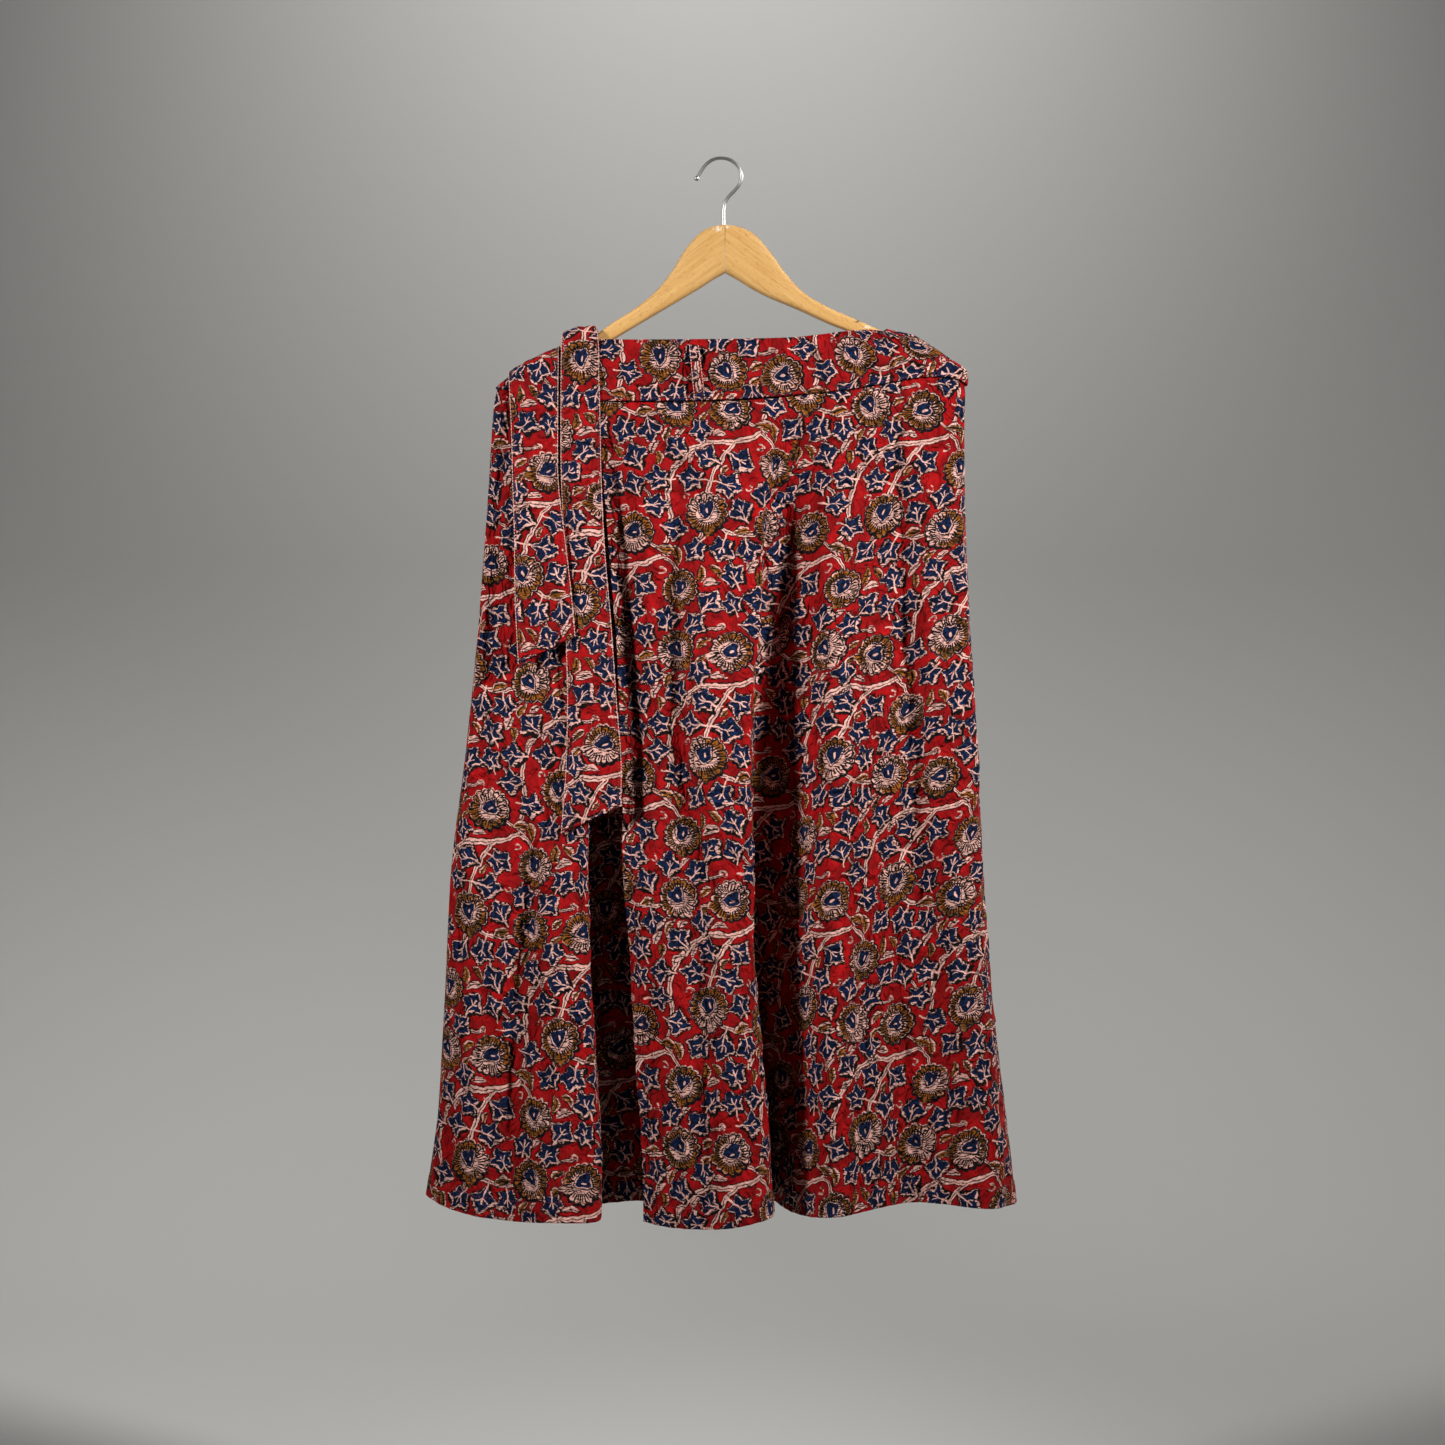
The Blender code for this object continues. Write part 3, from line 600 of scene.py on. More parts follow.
# The arcs of vine and stem: the three points that each goes through, and its half width
STEMS = (
    ((22, 8), (-2, 1), (-25, 1), 2.3), ((-25, 1), (-45, -9), (-58, -26), 2.3),
    ((-58, -26), (-64, -47), (-62, -68), 2.1), ((-62, -68), (-62, -79), (-66, -92), 1.6),
    ((0, 1), (-16, -20), (-26, -50), 1.9), ((-20, -78), (-2, -87), (22, -85), 1.6),
    ((22, 8), (31, 3), (37, -7), 1.4), ((28, 9), (24, 12), (12, 20), 1.3),
    ((68, -37), (62, -31), (54, -26), 1.0), ((89, -38), (78, -43), (68, -37), 1.0),
    ((108, -58), (102, -47), (89, -38), 1.0), ((79, -60), (68, -62), (54, -57), 1.0),
    ((27, -50), (30, -57), (32, -64), 1.0), ((5, -65), (-3, -68), (-11, -64), 1.0),
    ((-7, -41), (1, -31), (4, -17), 1.0), ((-2, -127), (-5, -113), (-13, -101), 1.0),
    ((-37, -101), (-34, -93), (-31, -84), 1.0), ((33, -98), (31, -102), (28, -110), 0.9),
    ((-33, 14), (-31, 7), (-25, 1), 1.0), ((-27, -14), (-30, -5), (-36, -3), 1.0),
    ((11, -102), (19, -101), (27, -97), 1.0),
)


@dataclass(frozen=True)
class BlockPrint:
    """The charted repeat of the cloth, laid out as a half drop.

    Flowers hang on an arching vine that forks, between small leaves of four or five points.
    Each row of the repeat is drop high and moves sideways by half of the repeat's width. A
    face farther than figure_room or stem_room from any figure or stem shows none.
    """

    half_width: float = 92.0
    drop: float = 115.0
    figure_room: float = 7.0
    stem_room: float = 6.0
    stem_end: float = 1.5
    far: float = 1e9

    def copies(self, spots: np.ndarray) -> np.ndarray:
        """Return the nine copies of each spot that lie round the repeat's own cell."""
        shifts = [
            (2 * self.half_width * i + self.half_width * j, self.drop * j)
            for i in (-1, 0, 1) for j in (-1, 0, 1)
        ]
        return np.array(shifts)[:, None] + spots

    def cell(self, flat: np.ndarray) -> np.ndarray:
        """Return the corner of the cell that each point of flat cloth lies in."""
        width = self.half_width
        row = np.floor(flat[:, 1] / self.drop)
        column = np.floor((flat[:, 0] - width * row) / (2 * width))
        return np.stack([2 * width * column + width * row, self.drop * row], axis=-1)

    def stamp_faces(self, mesh: bpy.types.Mesh, offset: tuple[float, float]) -> None:
        """Give each face the figure and the stem that are nearest to it.

        The material draws them from there, so the outlines are as sharp as the render.

        Args:
            mesh: a mesh with a UV map in metres of flat cloth.
            offset: where the repeat's origin lies on this piece's flat cloth.
        """
        corners = np.empty(len(mesh.loops) * 2)
        mesh.uv_layers[0].data.foreach_get("uv", corners)
        flat = corners.reshape(-1, 4, 2).mean(axis=1) / MM - np.array(offset)
        corner = self.cell(flat)
        inside = flat - corner
        self._store_figures(mesh, inside, corner + np.array(offset))
        self._store_stems(mesh, inside, corner + np.array(offset))

    def _store_figures(self, mesh: bpy.types.Mesh, inside: np.ndarray, corner: np.ndarray) -> None:
        """Store each face's nearest figure: its centre, turn, size, kind and block slip.

        Args:
            mesh: the mesh that the faces belong to.
            inside: each face's place within its cell of the repeat.
            corner: the corner of that cell on the flat cloth.
        """
        rows = [(figure, *row) for figure, stamps in CHART.items() for row in stamps]
        kinds = np.array([figure.value for figure, *_ in rows], dtype=float)
        spots, turns, sizes = np.split(np.array([row[1:] for row in rows], dtype=float), (2, 3), 1)
        reach = np.array([FIGURE_REACH[figure] for figure, *_ in rows]) * sizes[:, 0]
        best = np.full(len(inside), self.far)
        choice = np.zeros(len(inside), dtype=int)
        centre = np.zeros((len(inside), 2))
        for shifted in self.copies(spots - self.cell(spots)):
            for index, spot in enumerate(shifted):
                gap = np.linalg.norm(inside - spot, axis=-1) - reach[index]
                nearer = gap < best
                best[nearer], choice[nearer], centre[nearer] = gap[nearer], index, spot
        centre += corner
        lean = np.sin(centre[:, 0] * 0.37 + centre[:, 1] * 0.23) * math.pi
        kind = np.where(best > self.figure_room, 0.0, kinds[choice])
        nothing = np.zeros(len(inside))
        facts = -np.radians(turns[choice, 0]), 1 / sizes[choice, 0], lean
        slip = (
            np.sin(corner[:, 0] * 0.11 + corner[:, 1] * 0.05),
            np.cos(corner[:, 0] * 0.07 - corner[:, 1] * 0.13),
            nothing,
        )
        face_values(mesh, "figure place", np.column_stack([centre, nothing]))
        face_values(mesh, "figure facts", np.column_stack(facts))
        face_values(mesh, "figure kind", kind)
        face_values(mesh, "block slip", np.column_stack(slip))

    def _store_stems(self, mesh: bpy.types.Mesh, inside: np.ndarray, corner: np.ndarray) -> None:
        """Store each face's nearest stem as a circle: its centre, radius and half width.

        Args:
            mesh: the mesh that the faces belong to.
            inside: each face's place within its cell of the repeat.
            corner: the corner of that cell on the flat cloth.
        """
        best = np.full(len(inside), self.far)
        arc = np.zeros((len(inside), 3))
        half = np.zeros(len(inside))
        for *points, stem_half in STEMS:
            start, middle, end = np.array(points, dtype=float)
            centre, radius = circle_through(start, middle, end)
            turns = [float(angle_from(middle - centre, point - centre)) for point in (start, end)]
            for shift in self.copies(-self.cell(middle[None]))[:, 0]:
                off = inside - centre - shift
                turn = angle_from(middle - centre, off)
                beyond = np.maximum(np.maximum(min(turns) - turn, turn - max(turns)), 0) * radius
                gap = np.hypot(np.linalg.norm(off, axis=-1) - radius, beyond) - stem_half
                gap[beyond > self.stem_end] = self.far
                nearer = gap < best
                best[nearer], half[nearer] = gap[nearer], stem_half
                arc[nearer, :2] = (centre + shift + corner)[nearer]
                arc[nearer, 2] = radius
        half[best > self.stem_room] = 0.0
        face_values(mesh, "stem circle", arc * (1, 1, 0))
        face_values(mesh, "stem radius", arc[:, 2])
        face_values(mesh, "stem half width", half)


def circle_through(a: np.ndarray, b: np.ndarray, c: np.ndarray) -> tuple[np.ndarray, float]:
    """Return the centre and the radius of the circle through three points."""
    equations = 2 * np.array([b - a, c - a])
    centre = np.linalg.solve(equations, np.array([b @ b - a @ a, c @ c - a @ a]))
    return centre, float(np.linalg.norm(a - centre))


def angle_from(start: np.ndarray, to: np.ndarray) -> np.ndarray:
    """Return the signed angle from one direction to another, between -pi and pi."""
    turned = to[..., 0] * start[1] - to[..., 1] * start[0]
    return -np.arctan2(turned, to @ start)


def linear(code: str) -> tuple[float, float, float, float]:
    """Turn an sRGB hex value such as b81c1c into the linear colour that shaders take."""
    parts = [int(code[i:i + 2], 16) / 255 for i in (0, 2, 4)]
    return (*(p / 12.92 if p <= 0.04045 else ((p + 0.055) / 1.055) ** 2.4 for p in parts), 1.0)


def add_node(tree: Tree, kind: str, reads: dict | None = None, **settings) -> bpy.types.Node:
    """Add a shader node with its settings, and set or link what it reads.

    Args:
        tree: the material's nodes.
        kind: the node's type, without the words ShaderNode that all types begin with.
        reads: for each input's name or number, a value or the socket to link.
        settings: properties of the node.
    """
    made = tree.nodes.new(f"ShaderNode{kind}")
    for name, value in settings.items():
        setattr(made, name, value)
    for slot, value in (reads or {}).items():
        value = getattr(value, "socket", value)
        if isinstance(value, Socket):
            tree.links.new(value, made.inputs[slot])
        else:
            made.inputs[slot].default_value = value
    return made


# The width in millimetres over which an inked edge fades
SOFT_EDGE = 0.35

# The numbers of the colour mixer's inputs and of its output
MIX_FACTOR, MIX_A, MIX_B, MIX_OUT = 0, 6, 7, 2


@dataclass(frozen=True)
class Term:
    """A number that a material's nodes work out: a sum with it adds a node that does the sum.

    As masks between 0 and 1, a product is both of two masks and a bar is either of them.
    """

    socket: Socket

    def worked(self, operation: str, *others: Term | float, **settings) -> Term:
        """Return the result of an operation on this number and the others."""
        reads = dict(enumerate((self, *others)))
        made = add_node(self.socket.id_data, "Math", reads, operation=operation, **settings)
        return Term(made.outputs[0])

    def __add__(self, other: Term | float) -> Term:
        """Return the sum."""
        return self.worked("ADD", other)

    def __sub__(self, other: Term | float) -> Term:
        """Return the difference."""
        return self.worked("SUBTRACT", other)

    def __rsub__(self, other: float) -> Term:
        """Return a plain number less this one."""
        return self.worked("MULTIPLY_ADD", -1.0, other)

    def __mul__(self, other: Term | float) -> Term:
        """Return the product."""
        return self.worked("MULTIPLY", other)

    def __or__(self, other: Term) -> Term:
        """Return the larger of the two."""
        return self.worked("MAXIMUM", other)

    def __abs__(self) -> Term:
        """Return the size without its sign."""
        return self.worked("ABSOLUTE")

    __radd__, __rmul__ = __add__, __mul__

    def sine(self) -> Term:
        """Return the sine."""
        return self.worked("SINE")

    def held(self, most: float = 1.0) -> Term:
        """Return the number held between 0 and the most."""
        return self.worked("MINIMUM", most).worked("MAXIMUM", 0.0)

    def within(self, edge: float) -> Term:
        """Return 1 where a distance is under an edge and 0 beyond it, as soft as ink is."""
        return self.worked("MULTIPLY_ADD", -1 / SOFT_EDGE, 0.5 + edge / SOFT_EDGE, use_clamp=True)


def attribute(tree: Tree, name: str, output: str = "Fac") -> Socket:
    """Read what the mesh stores for each face: a number, or its Vector output."""
    return add_node(tree, "Attribute", attribute_name=name).outputs[output]


def vector_math(
    tree: Tree, operation: str, *reads: Socket | tuple, scale: Socket | float = 1.0
) -> Socket:
    """Add one sum on vectors, and return its vector or, for a length, its number.

    Args:
        tree: the material's nodes.
        operation: the sum.
        reads: the vectors that it reads.
        scale: the number that SCALE multiplies by.
    """
    reads = dict(enumerate(reads))
    if operation == "SCALE":
        reads["Scale"] = scale
    made = add_node(tree, "VectorMath", reads, operation=operation)
    return made.outputs["Value" if operation in ("LENGTH", "DISTANCE") else "Vector"]


def noise(
    tree: Tree, vector: Socket, scale: float = 1.0, detail: float = 2.0, dimensions: str = "3D",
    **more: float,
) -> Term:
    """Read soft noise.

    Args:
        tree: the material's nodes.
        vector: where to read it.
        scale: its grains to a unit of the vector.
        detail: how many finer layers it has.
        dimensions: FLAT, or solid as it is otherwise.
        more: the node's other inputs.
    """
    reads = {"Vector": vector, "Scale": scale, "Detail": detail, **more}
    return Term(add_node(tree, "TexNoise", reads, noise_dimensions=dimensions).outputs[0])


def mapped(tree: Tree, vector: Socket, scale: tuple, turn: float = 0.0) -> Socket:
    """Stretch a vector by a scale along each axis, and then turn it round the third one."""
    reads = {"Vector": vector, "Scale": scale, "Rotation": (0, 0, turn)}
    return add_node(tree, "Mapping", reads).outputs[0]


def painted(under: Socket | str, over: Socket | str, mask: Term) -> Socket:
    """Lay one colour over another where a mask is 1; a colour is a socket or a hex value."""
    under, over = (linear(ink) if isinstance(ink, str) else ink for ink in (under, over))
    reads = {MIX_FACTOR: mask, MIX_A: under, MIX_B: over}
    return add_node(mask.socket.id_data, "Mix", reads, data_type="RGBA").outputs[MIX_OUT]


def bumped(
    tree: Tree, height: Term, strength: float, distance: float, more: dict | None = None
) -> Socket:
    """Return a normal that a height tilts; more may hold the normal that it starts from."""
    reads = {"Strength": strength, "Distance": distance, "Height": height, **(more or {})}
    return add_node(tree, "Bump", reads).outputs[0]


def new_material(name: str, values: dict) -> tuple[bpy.types.Material, bpy.types.Node]:
    """Make a material, and set its shader's uniform values.

    Args:
        name: the real material's name.
        values: the value of each input of the shader that isn't the usual one.

    Returns:
        The material and its shader.
    """
    made = bpy.data.materials.new(name)
    made.use_nodes = True
    shader = made.node_tree.nodes["Principled BSDF"]
    for slot, value in values.items():
        shader.inputs[slot].default_value = value
    return made, shader


class Inking(NamedTuple):
    """Where a point lies within its figure, as one block prints it, in millimetres."""

    x: Term
    y: Term
    reach: Term
    angle: Term


# The blocks are printed one after another, each a little out of place
BLOCK_SLIPS = {
    "pink": (0.0, 0.0), "brown": (-0.7, 0.5), "navy": (0.5, -0.5), "black": (0.45, 0.55),
    "shade": (-0.8, 0.75),
}
Masks = dict[str, Term]


@dataclass(frozen=True)
class PrintedFigures:
    """The shapes of the printed figures, as masks for each of the blocks.

    blocks holds each block's own reading of the point, blotch and speck break up the
    outlines, and lean is an angle that differs from figure to figure.
    """

    blocks: dict[str, Inking]
    blotch: Term
    speck: Term
    lean: Term

    def rosette(self) -> Masks:
        """A scalloped flower with a tail, brown on one side, rayed, round a navy heart."""
        pink, brown, navy, black, shade = self.blocks.values()
        tail = 1.0 - 2.2 * abs(pink.angle + math.pi / 2) | 0.0
        edge = 5.0 * (tail * tail) + (1.8 * abs((8.5 * pink.angle).sine()) + 14.2)
        side = (pink.angle - self.lean).worked("COSINE")
        side = 1.8 * self.blotch + (0.5 * (2.0 * self.lean).sine() + side)
        core = (9.9 - brown.reach).within(0.0)
        seam = self._rays(8.5, 4.6) * abs(black.reach - 13.0).within(2.4)
        ray = self._rays(17.0, 7.6) * abs(black.reach - 10.4).within(2.4)
        rim = 1.6 * self.blotch + abs(black.reach - edge + 0.6)
        across, up = 1.12 * abs(navy.x), navy.y - 0.72 * abs(navy.x)
        heart = (across * across + up * up).worked("SQRT")
        comma_x, comma_y = 1.1 * pink.x - 0.7, 0.42 * pink.y - 0.5
        return {
            "pink": (pink.reach - edge).within(0.3),
            "shade": (shade.reach - edge).within(1.3),
            "brown": (brown.reach - edge).within(-1.0) * core * (4.0 * side + 3.0).held(),
            "black": seam | ray | rim.within(0.6) | abs(heart - 7.5).within(0.5),
            "navy": heart.within(5.9),
            "light": (comma_x * comma_x + comma_y * comma_y).within(0.75),
        }

    def _rays(self, count: float, width: float) -> Term:
        """Return two rays for each count, as wide all the way: |sin| times the reach."""
        black = self.blocks["black"]
        return (abs((count * black.angle).sine()) * black.reach).within(width)

    def leaf(self) -> Masks:
        """A leaf of four or five points, in a pink halo, with a forked pink vein."""
        pink, navy, shade = (self.blocks[name] for name in ("pink", "navy", "shade"))
        points = 0.5 * self.lean.worked("GREATER_THAN", -0.6) + 2.0

        def star(ink: Inking, depth: float, bend: float, blotch: float) -> Term:
            """Return the reach plus depth times |sin| of points times the turn from the tip."""
            wave = abs((ink.angle * points - points * (math.pi / 2)).sine())
            return depth * wave + ink.reach - bend * ink.y + blotch * self.blotch

        halo = star(pink, 3.9, 0.12, 5.0)
        line = abs(halo - 11.7) + 1.4 * self.speck
        middle = abs(pink.x)
        stalk = middle - 0.5 | pink.y - 4.5
        fork = abs(middle - 0.8 * pink.y - 1.3) - 0.45 | abs(pink.y - 1.0) - 1.7
        vein = 1.2 * self.speck + stalk.worked("MINIMUM", fork)
        return {
            "pink": halo.within(11.0) | stalk.within(0.1) * (-13.5 - pink.y).within(0.0),
            "shade": star(shade, 3.7, 0.0, 3.0).within(12.35),
            "black": line.within(0.7),
            "navy": star(navy, 4.2, 0.12, 2.2).within(9.8),
            "light": vein.within(0.1),
        }

    def blade(self) -> Masks:
        """A narrow leaf between two parabolas, brown inside, with a black middle vein."""
        pink, brown, _, black, _ = self.blocks.values()
        bend = pink.y * pink.y
        side = 0.042 * bend + abs(0.035 * bend + pink.x - 1.0)
        rib = abs(0.035 * bend + black.x - 1.0).within(0.55) * (bend - 40.0).within(0.0)
        line = 1.8 * self.speck + abs(side - 4.2)
        return {
            "pink": side.within(3.7),
            "brown": (0.35 * brown.x + (3.0 * self.blotch + side)).within(2.7),
            "black": rib | line.within(0.6),
        }

    def curl(self) -> Masks:
        """Most of a small pink ring, with a black line along it."""
        pink, black = self.blocks["pink"], self.blocks["black"]
        ring = abs(pink.reach - 3.0).within(0.85) * pink.angle.worked("LESS_THAN", 1.5)
        return {"pink": ring, "black": abs(black.reach - 3.0).within(0.16) * ring}

    def stem(self, reach: Term, radius: Term, half: Term) -> Masks:
        """A pink band round its circle, with broken black lines along it and at its edges.

        Args:
            reach: the distance from the circle's centre.
            radius: the circle's radius.
            half: the stem's half width, 0 where there is none.
        """
        off = reach - radius
        side = 0.5 * self.blotch + abs(off) - half
        line = self.speck + abs(off - 0.15)
        rim = 1.6 * self.speck + abs(side - 0.6)
        there = half.worked("GREATER_THAN", 0.01)
        black = line.within(0.48) | rim.within(0.6)
        return {"stem": side.within(0.1) * there, "stem black": black * there}

    def chosen(self, kind: Term, streak: Term) -> Masks:
        """Return the masks of the figure that a face shows, with strokes where pink is thin.

        Args:
            kind: the figure's number.
            streak: the noise that the thin strokes follow.
        """
        blade = self.blade()
        brown = {"brown": blade.pop("brown")}
        shown = (
            ((Figure.ROSETTE,), self.rosette()), ((Figure.LEAF,), self.leaf()),
            ((Figure.BROWN_LEAF, Figure.PALE_LEAF), blade), ((Figure.BROWN_LEAF,), brown),
            ((Figure.CURL,), self.curl()),
        )
        masks = {}
        for figures, own in shown:
            here = reduce(or_, (kind.worked("COMPARE", figure.value, 0.5) for figure in figures))
            for block, mask in own.items():
                masks[block] = masks[block] | mask * here if block in masks else mask * here
        masks["black"] |= (22.0 * streak - 12.0).held() * masks["pink"]
        return masks


class Finish:
    """A finish, which is one material under its own name."""

    name: str

    def material(self) -> bpy.types.Material:
        """Make the material once, and give it back after that."""
        return bpy.data.materials.get(self.name) or self._made()

    def _made(self) -> bpy.types.Material:
        """Make the material."""
        raise NotImplementedError


@dataclass(frozen=True)
class PrintedCotton(Finish):
    """Plain-weave cotton, dyed red and block printed by hand.

    The dye gives a deep, dry red that is a little mottled, the five blocks are out of place
    by about a millimetre, and the threads give a dull surface with a faint fuzz. carve is how
    far the outlines wander, as if cut by hand, and slip how much the blocks' places vary.
    """

    name: str = "block printed cotton"
    red: str = "ac0c0f"
    deep_red: str = "8a090c"
    pink: str = "ebb4a6"
    brown: str = "9c5a1a"
    olive: str = "62431e"
    navy: str = "12264e"
    deep_navy: str = "080f24"
    black: str = "140b0d"
    carve: float = 5.0
    slip: float = 0.9
    thread: float = 0.9
    weave_depth: float = 0.0004
    weave_strength: float = 0.25
    crumple: float = 0.011

    def _made(self) -> bpy.types.Material:
        """Make the material: the flat cloth, the masks of the blocks, the inks and the weave."""
        made, shader = new_material(
            self.name, {"Roughness": 0.86, "IOR": 1.45, "Specular IOR Level": 0.14})
        tree = made.node_tree
        flat = add_node(tree, "UVMap", uv_map="flat cloth").outputs[0]
        flat = vector_math(tree, "SCALE", flat, scale=1 / MM)
        mottle = noise(tree, flat, 0.05, 4.0, FLAT)
        blotch = noise(tree, flat, 0.35, 2.0, FLAT) - 0.5
        masks = self._masks(tree, flat, blotch)
        colour = painted(self.deep_red, self.red, (3.0 * mottle - 1.1).held())
        brown = painted(self.brown, self.olive, (5.0 * mottle - 2.4).held())
        navy = painted(self.deep_navy, self.navy, (4.0 * blotch + 0.35).held())
        for ink, mask in (
            (self.pink, "stem"), (self.black, "stem black"), (self.black, "shade"),
            (self.pink, "pink"), (brown, "brown"), (self.black, "black"), (navy, "navy"),
            (self.pink, "light"),
        ):
            colour = painted(colour, ink, masks[mask])
        depth = 0.22 * blotch + (0.34 * mottle + 0.76)
        inked = add_node(tree, "HueSaturation", {"Value": depth, "Color": colour}).outputs[0]
        paler = 0.45 * Term(attribute(tree, "reverse side"))
        tree.links.new(painted(inked, self.pink, paler), shader.inputs["Base Color"])
        tree.links.new(self._weave(tree, flat), shader.inputs["Normal"])
        return made

    def _masks(self, tree: Tree, flat: Socket, blotch: Term) -> Masks:
        """Return the masks of all blocks where a face's figure and stem are printed.

        Args:
            tree: the material's nodes.
            flat: the point on the flat cloth, in millimetres.
            blotch: the noise that breaks up the outlines.
        """
        wobble = add_node(tree, "TexNoise", {"Vector": flat, "Scale": 0.1, "Detail": 1.5},
                          noise_dimensions=FLAT).outputs["Color"]
        shift = vector_math(tree, "SUBTRACT", wobble, (0.5,) * 3)
        shift = vector_math(tree, "SCALE", shift, scale=self.carve)
        carved = vector_math(tree, "ADD", flat, shift)
        speck = (noise(tree, flat, 0.5, 1.0, FLAT) - 0.44) | 0.0
        streak = noise(tree, mapped(tree, flat, (0.16, 0.95, 1.0), 0.5), 1.0, 1.0, FLAT)
        facts = attribute(tree, "figure facts", "Vector")
        turn, size, lean = add_node(tree, "SeparateXYZ", {0: facts}).outputs
        place = attribute(tree, "figure place", "Vector")
        blocks = {
            block: self._inking(tree, carved, place, turn, size, slip)
            for block, slip in BLOCK_SLIPS.items()
        }
        figures = PrintedFigures(blocks, blotch, speck, Term(lean))
        circle = attribute(tree, "stem circle", "Vector")
        stem = figures.stem(
            Term(vector_math(tree, "DISTANCE", carved, circle)),
            Term(attribute(tree, "stem radius")), Term(attribute(tree, "stem half width")),
        )
        return {**stem, **figures.chosen(Term(attribute(tree, "figure kind")), streak)}

    def _inking(
        self, tree: Tree, carved: Socket, place: Socket, turn: Socket, size: Socket, slip: tuple
    ) -> Inking:
        """Return where the point lies within its figure, as one block prints it.

        Args:
            tree: the material's nodes.
            carved: the point on the flat cloth, moved as the outlines wander.
            place: the figure's centre.
            turn: the angle that turns the point back to the upright figure.
            size: one over the figure's size.
            slip: how far this block is out of place, across and up.
        """
        across, up = slip
        varied = attribute(tree, "block slip", "Vector")
        moved = vector_math(
            tree, "MULTIPLY_ADD", varied, (self.slip * across, self.slip * up, 0), carved)
        moved = vector_math(tree, "ADD", moved, (across, up, 0))
        turned = add_node(tree, "VectorRotate", {"Vector": moved, "Center": place, "Angle": turn},
                          rotation_type="Z_AXIS").outputs[0]
        off = vector_math(tree, "SUBTRACT", turned, place)
        local = vector_math(tree, "SCALE", off, scale=size)
        x, y, _ = map(Term, add_node(tree, "SeparateXYZ", {0: local}).outputs)
        return Inking(x, y, Term(vector_math(tree, "LENGTH", local)), y.worked("ARCTAN2", x))

    def _weave(self, tree: Tree, flat: Socket) -> Socket:
        """Return the normal of the threads and of the fine crumple of washed cotton.

        The threads are two crossed sine waves and uneven slubs. They really lie 0.3 mm apart,
        and are drawn three times as coarse to show.

        Args:
            tree: the material's nodes.
            flat: the point on the flat cloth, in millimetres.
        """
        u, v, _ = map(Term, add_node(tree, "SeparateXYZ", {0: flat}).outputs)
        turns = 2 * math.pi / self.thread
        threads = (turns * u).sine() * (turns * v).sine()
        threads = 3.0 * noise(tree, flat, 0.8, 1.0, FLAT) + threads
        creased = noise(tree, mapped(tree, flat, (1.2, 0.75, 1.0)), 0.085, 2.5, FLAT,
                        Roughness=0.55, Distortion=0.6)
        bump = bumped(tree, creased, 1.0, self.crumple)
        return bumped(tree, threads, self.weave_strength, self.weave_depth, {"Normal": bump})


@dataclass(frozen=True)
class VarnishedBeech(Finish):
    """Beech under a thin honey varnish: fine straight grain with short darker flecks.

    The varnish gives a soft shine over a smooth surface, and it is a little scuffed. The
    grain is turned along the arm by lean degrees. A scuff is its x, z, reach and colour.
    """

    name: str
    lean: float
    pale: str = "e0b270"
    dark: str = "c69048"
    fleck: str = "8f5a2b"
    scuffs: tuple[tuple[float, float, float, str], ...] = ()

    def _made(self) -> bpy.types.Material:
        """Make the wood: grain, flecks, scuffs and varnish."""
        made, shader = new_material(
            self.name, {"Roughness": 0.42, "Coat Weight": 0.35, "Coat Roughness": 0.22})
        tree = made.node_tree
        here = add_node(tree, "TexCoord").outputs["Object"]
        along = add_node(tree, "VectorRotate", {"Vector": here, "Angle": math.radians(-self.lean)},
                         rotation_type="Y_AXIS").outputs[0]
        grain = noise(tree, mapped(tree, along, (24.0, 260.0, 520.0)), 1.0, 5.0, Roughness=0.6)
        fleck = noise(tree, mapped(tree, along, (180.0, 500.0, 800.0)))
        wear = noise(tree, here, 620.0)
        colour = painted(self.pale, self.dark, (2.0 * grain - 0.6).held())
        colour = painted(colour, self.fleck, (6.0 * fleck - 3.6).held(0.3))
        x, _, z = map(Term, add_node(tree, "SeparateXYZ", {0: here}).outputs)
        for middle_x, middle_z, reach, code in self.scuffs:
            off_x, off_z = x - middle_x * MM, z - middle_z * MM
            off = (3.0 * (off_z * off_z) + off_x * off_x).worked("SQRT")
            scuff = wear - (0.35 / (reach * MM)) * off
            colour = painted(colour, code, (9.0 * scuff - 2.9).held(0.8))
        tree.links.new(colour, shader.inputs["Base Color"])
        tree.links.new(bumped(tree, grain, 0.12, 0.0003), shader.inputs["Normal"])
        return made


@dataclass(frozen=True)
class DrawnSteel(Finish):
    """Drawn and plated steel wire: grey metal with faint lines that break up its shine."""

    name: str = "drawn steel wire"
    grey: str = "b9b7b3"

    def _made(self) -> bpy.types.Material:
        """Make the metal, its roughness broken up by fine scratches."""
        made, shader = new_material(self.name, {"Base Color": linear(self.grey), "Metallic": 1.0})
        tree = made.node_tree
        scratch = noise(tree, add_node(tree, "TexCoord").outputs["Object"], 900.0, 3.0)
        tree.links.new((0.2 * scratch + 0.34).socket, shader.inputs["Roughness"])
        return made


@dataclass(frozen=True)
class SewingThread(Finish):
    """Spun polyester thread, dull and a little uneven in colour along its length."""

    name: str = "dark red sewing thread"
    dark: str = "5c1216"
    light: str = "8c2426"

    def _made(self) -> bpy.types.Material:
        """Make the thread's material, darker and lighter by turns along the seam."""
        made, shader = new_material(self.name, {"Roughness": 0.6})
        tree = made.node_tree
        tone = noise(tree, add_node(tree, "TexCoord").outputs["Object"], 700.0)
        tree.links.new(painted(self.dark, self.light, tone), shader.inputs["Base Color"])
        return made


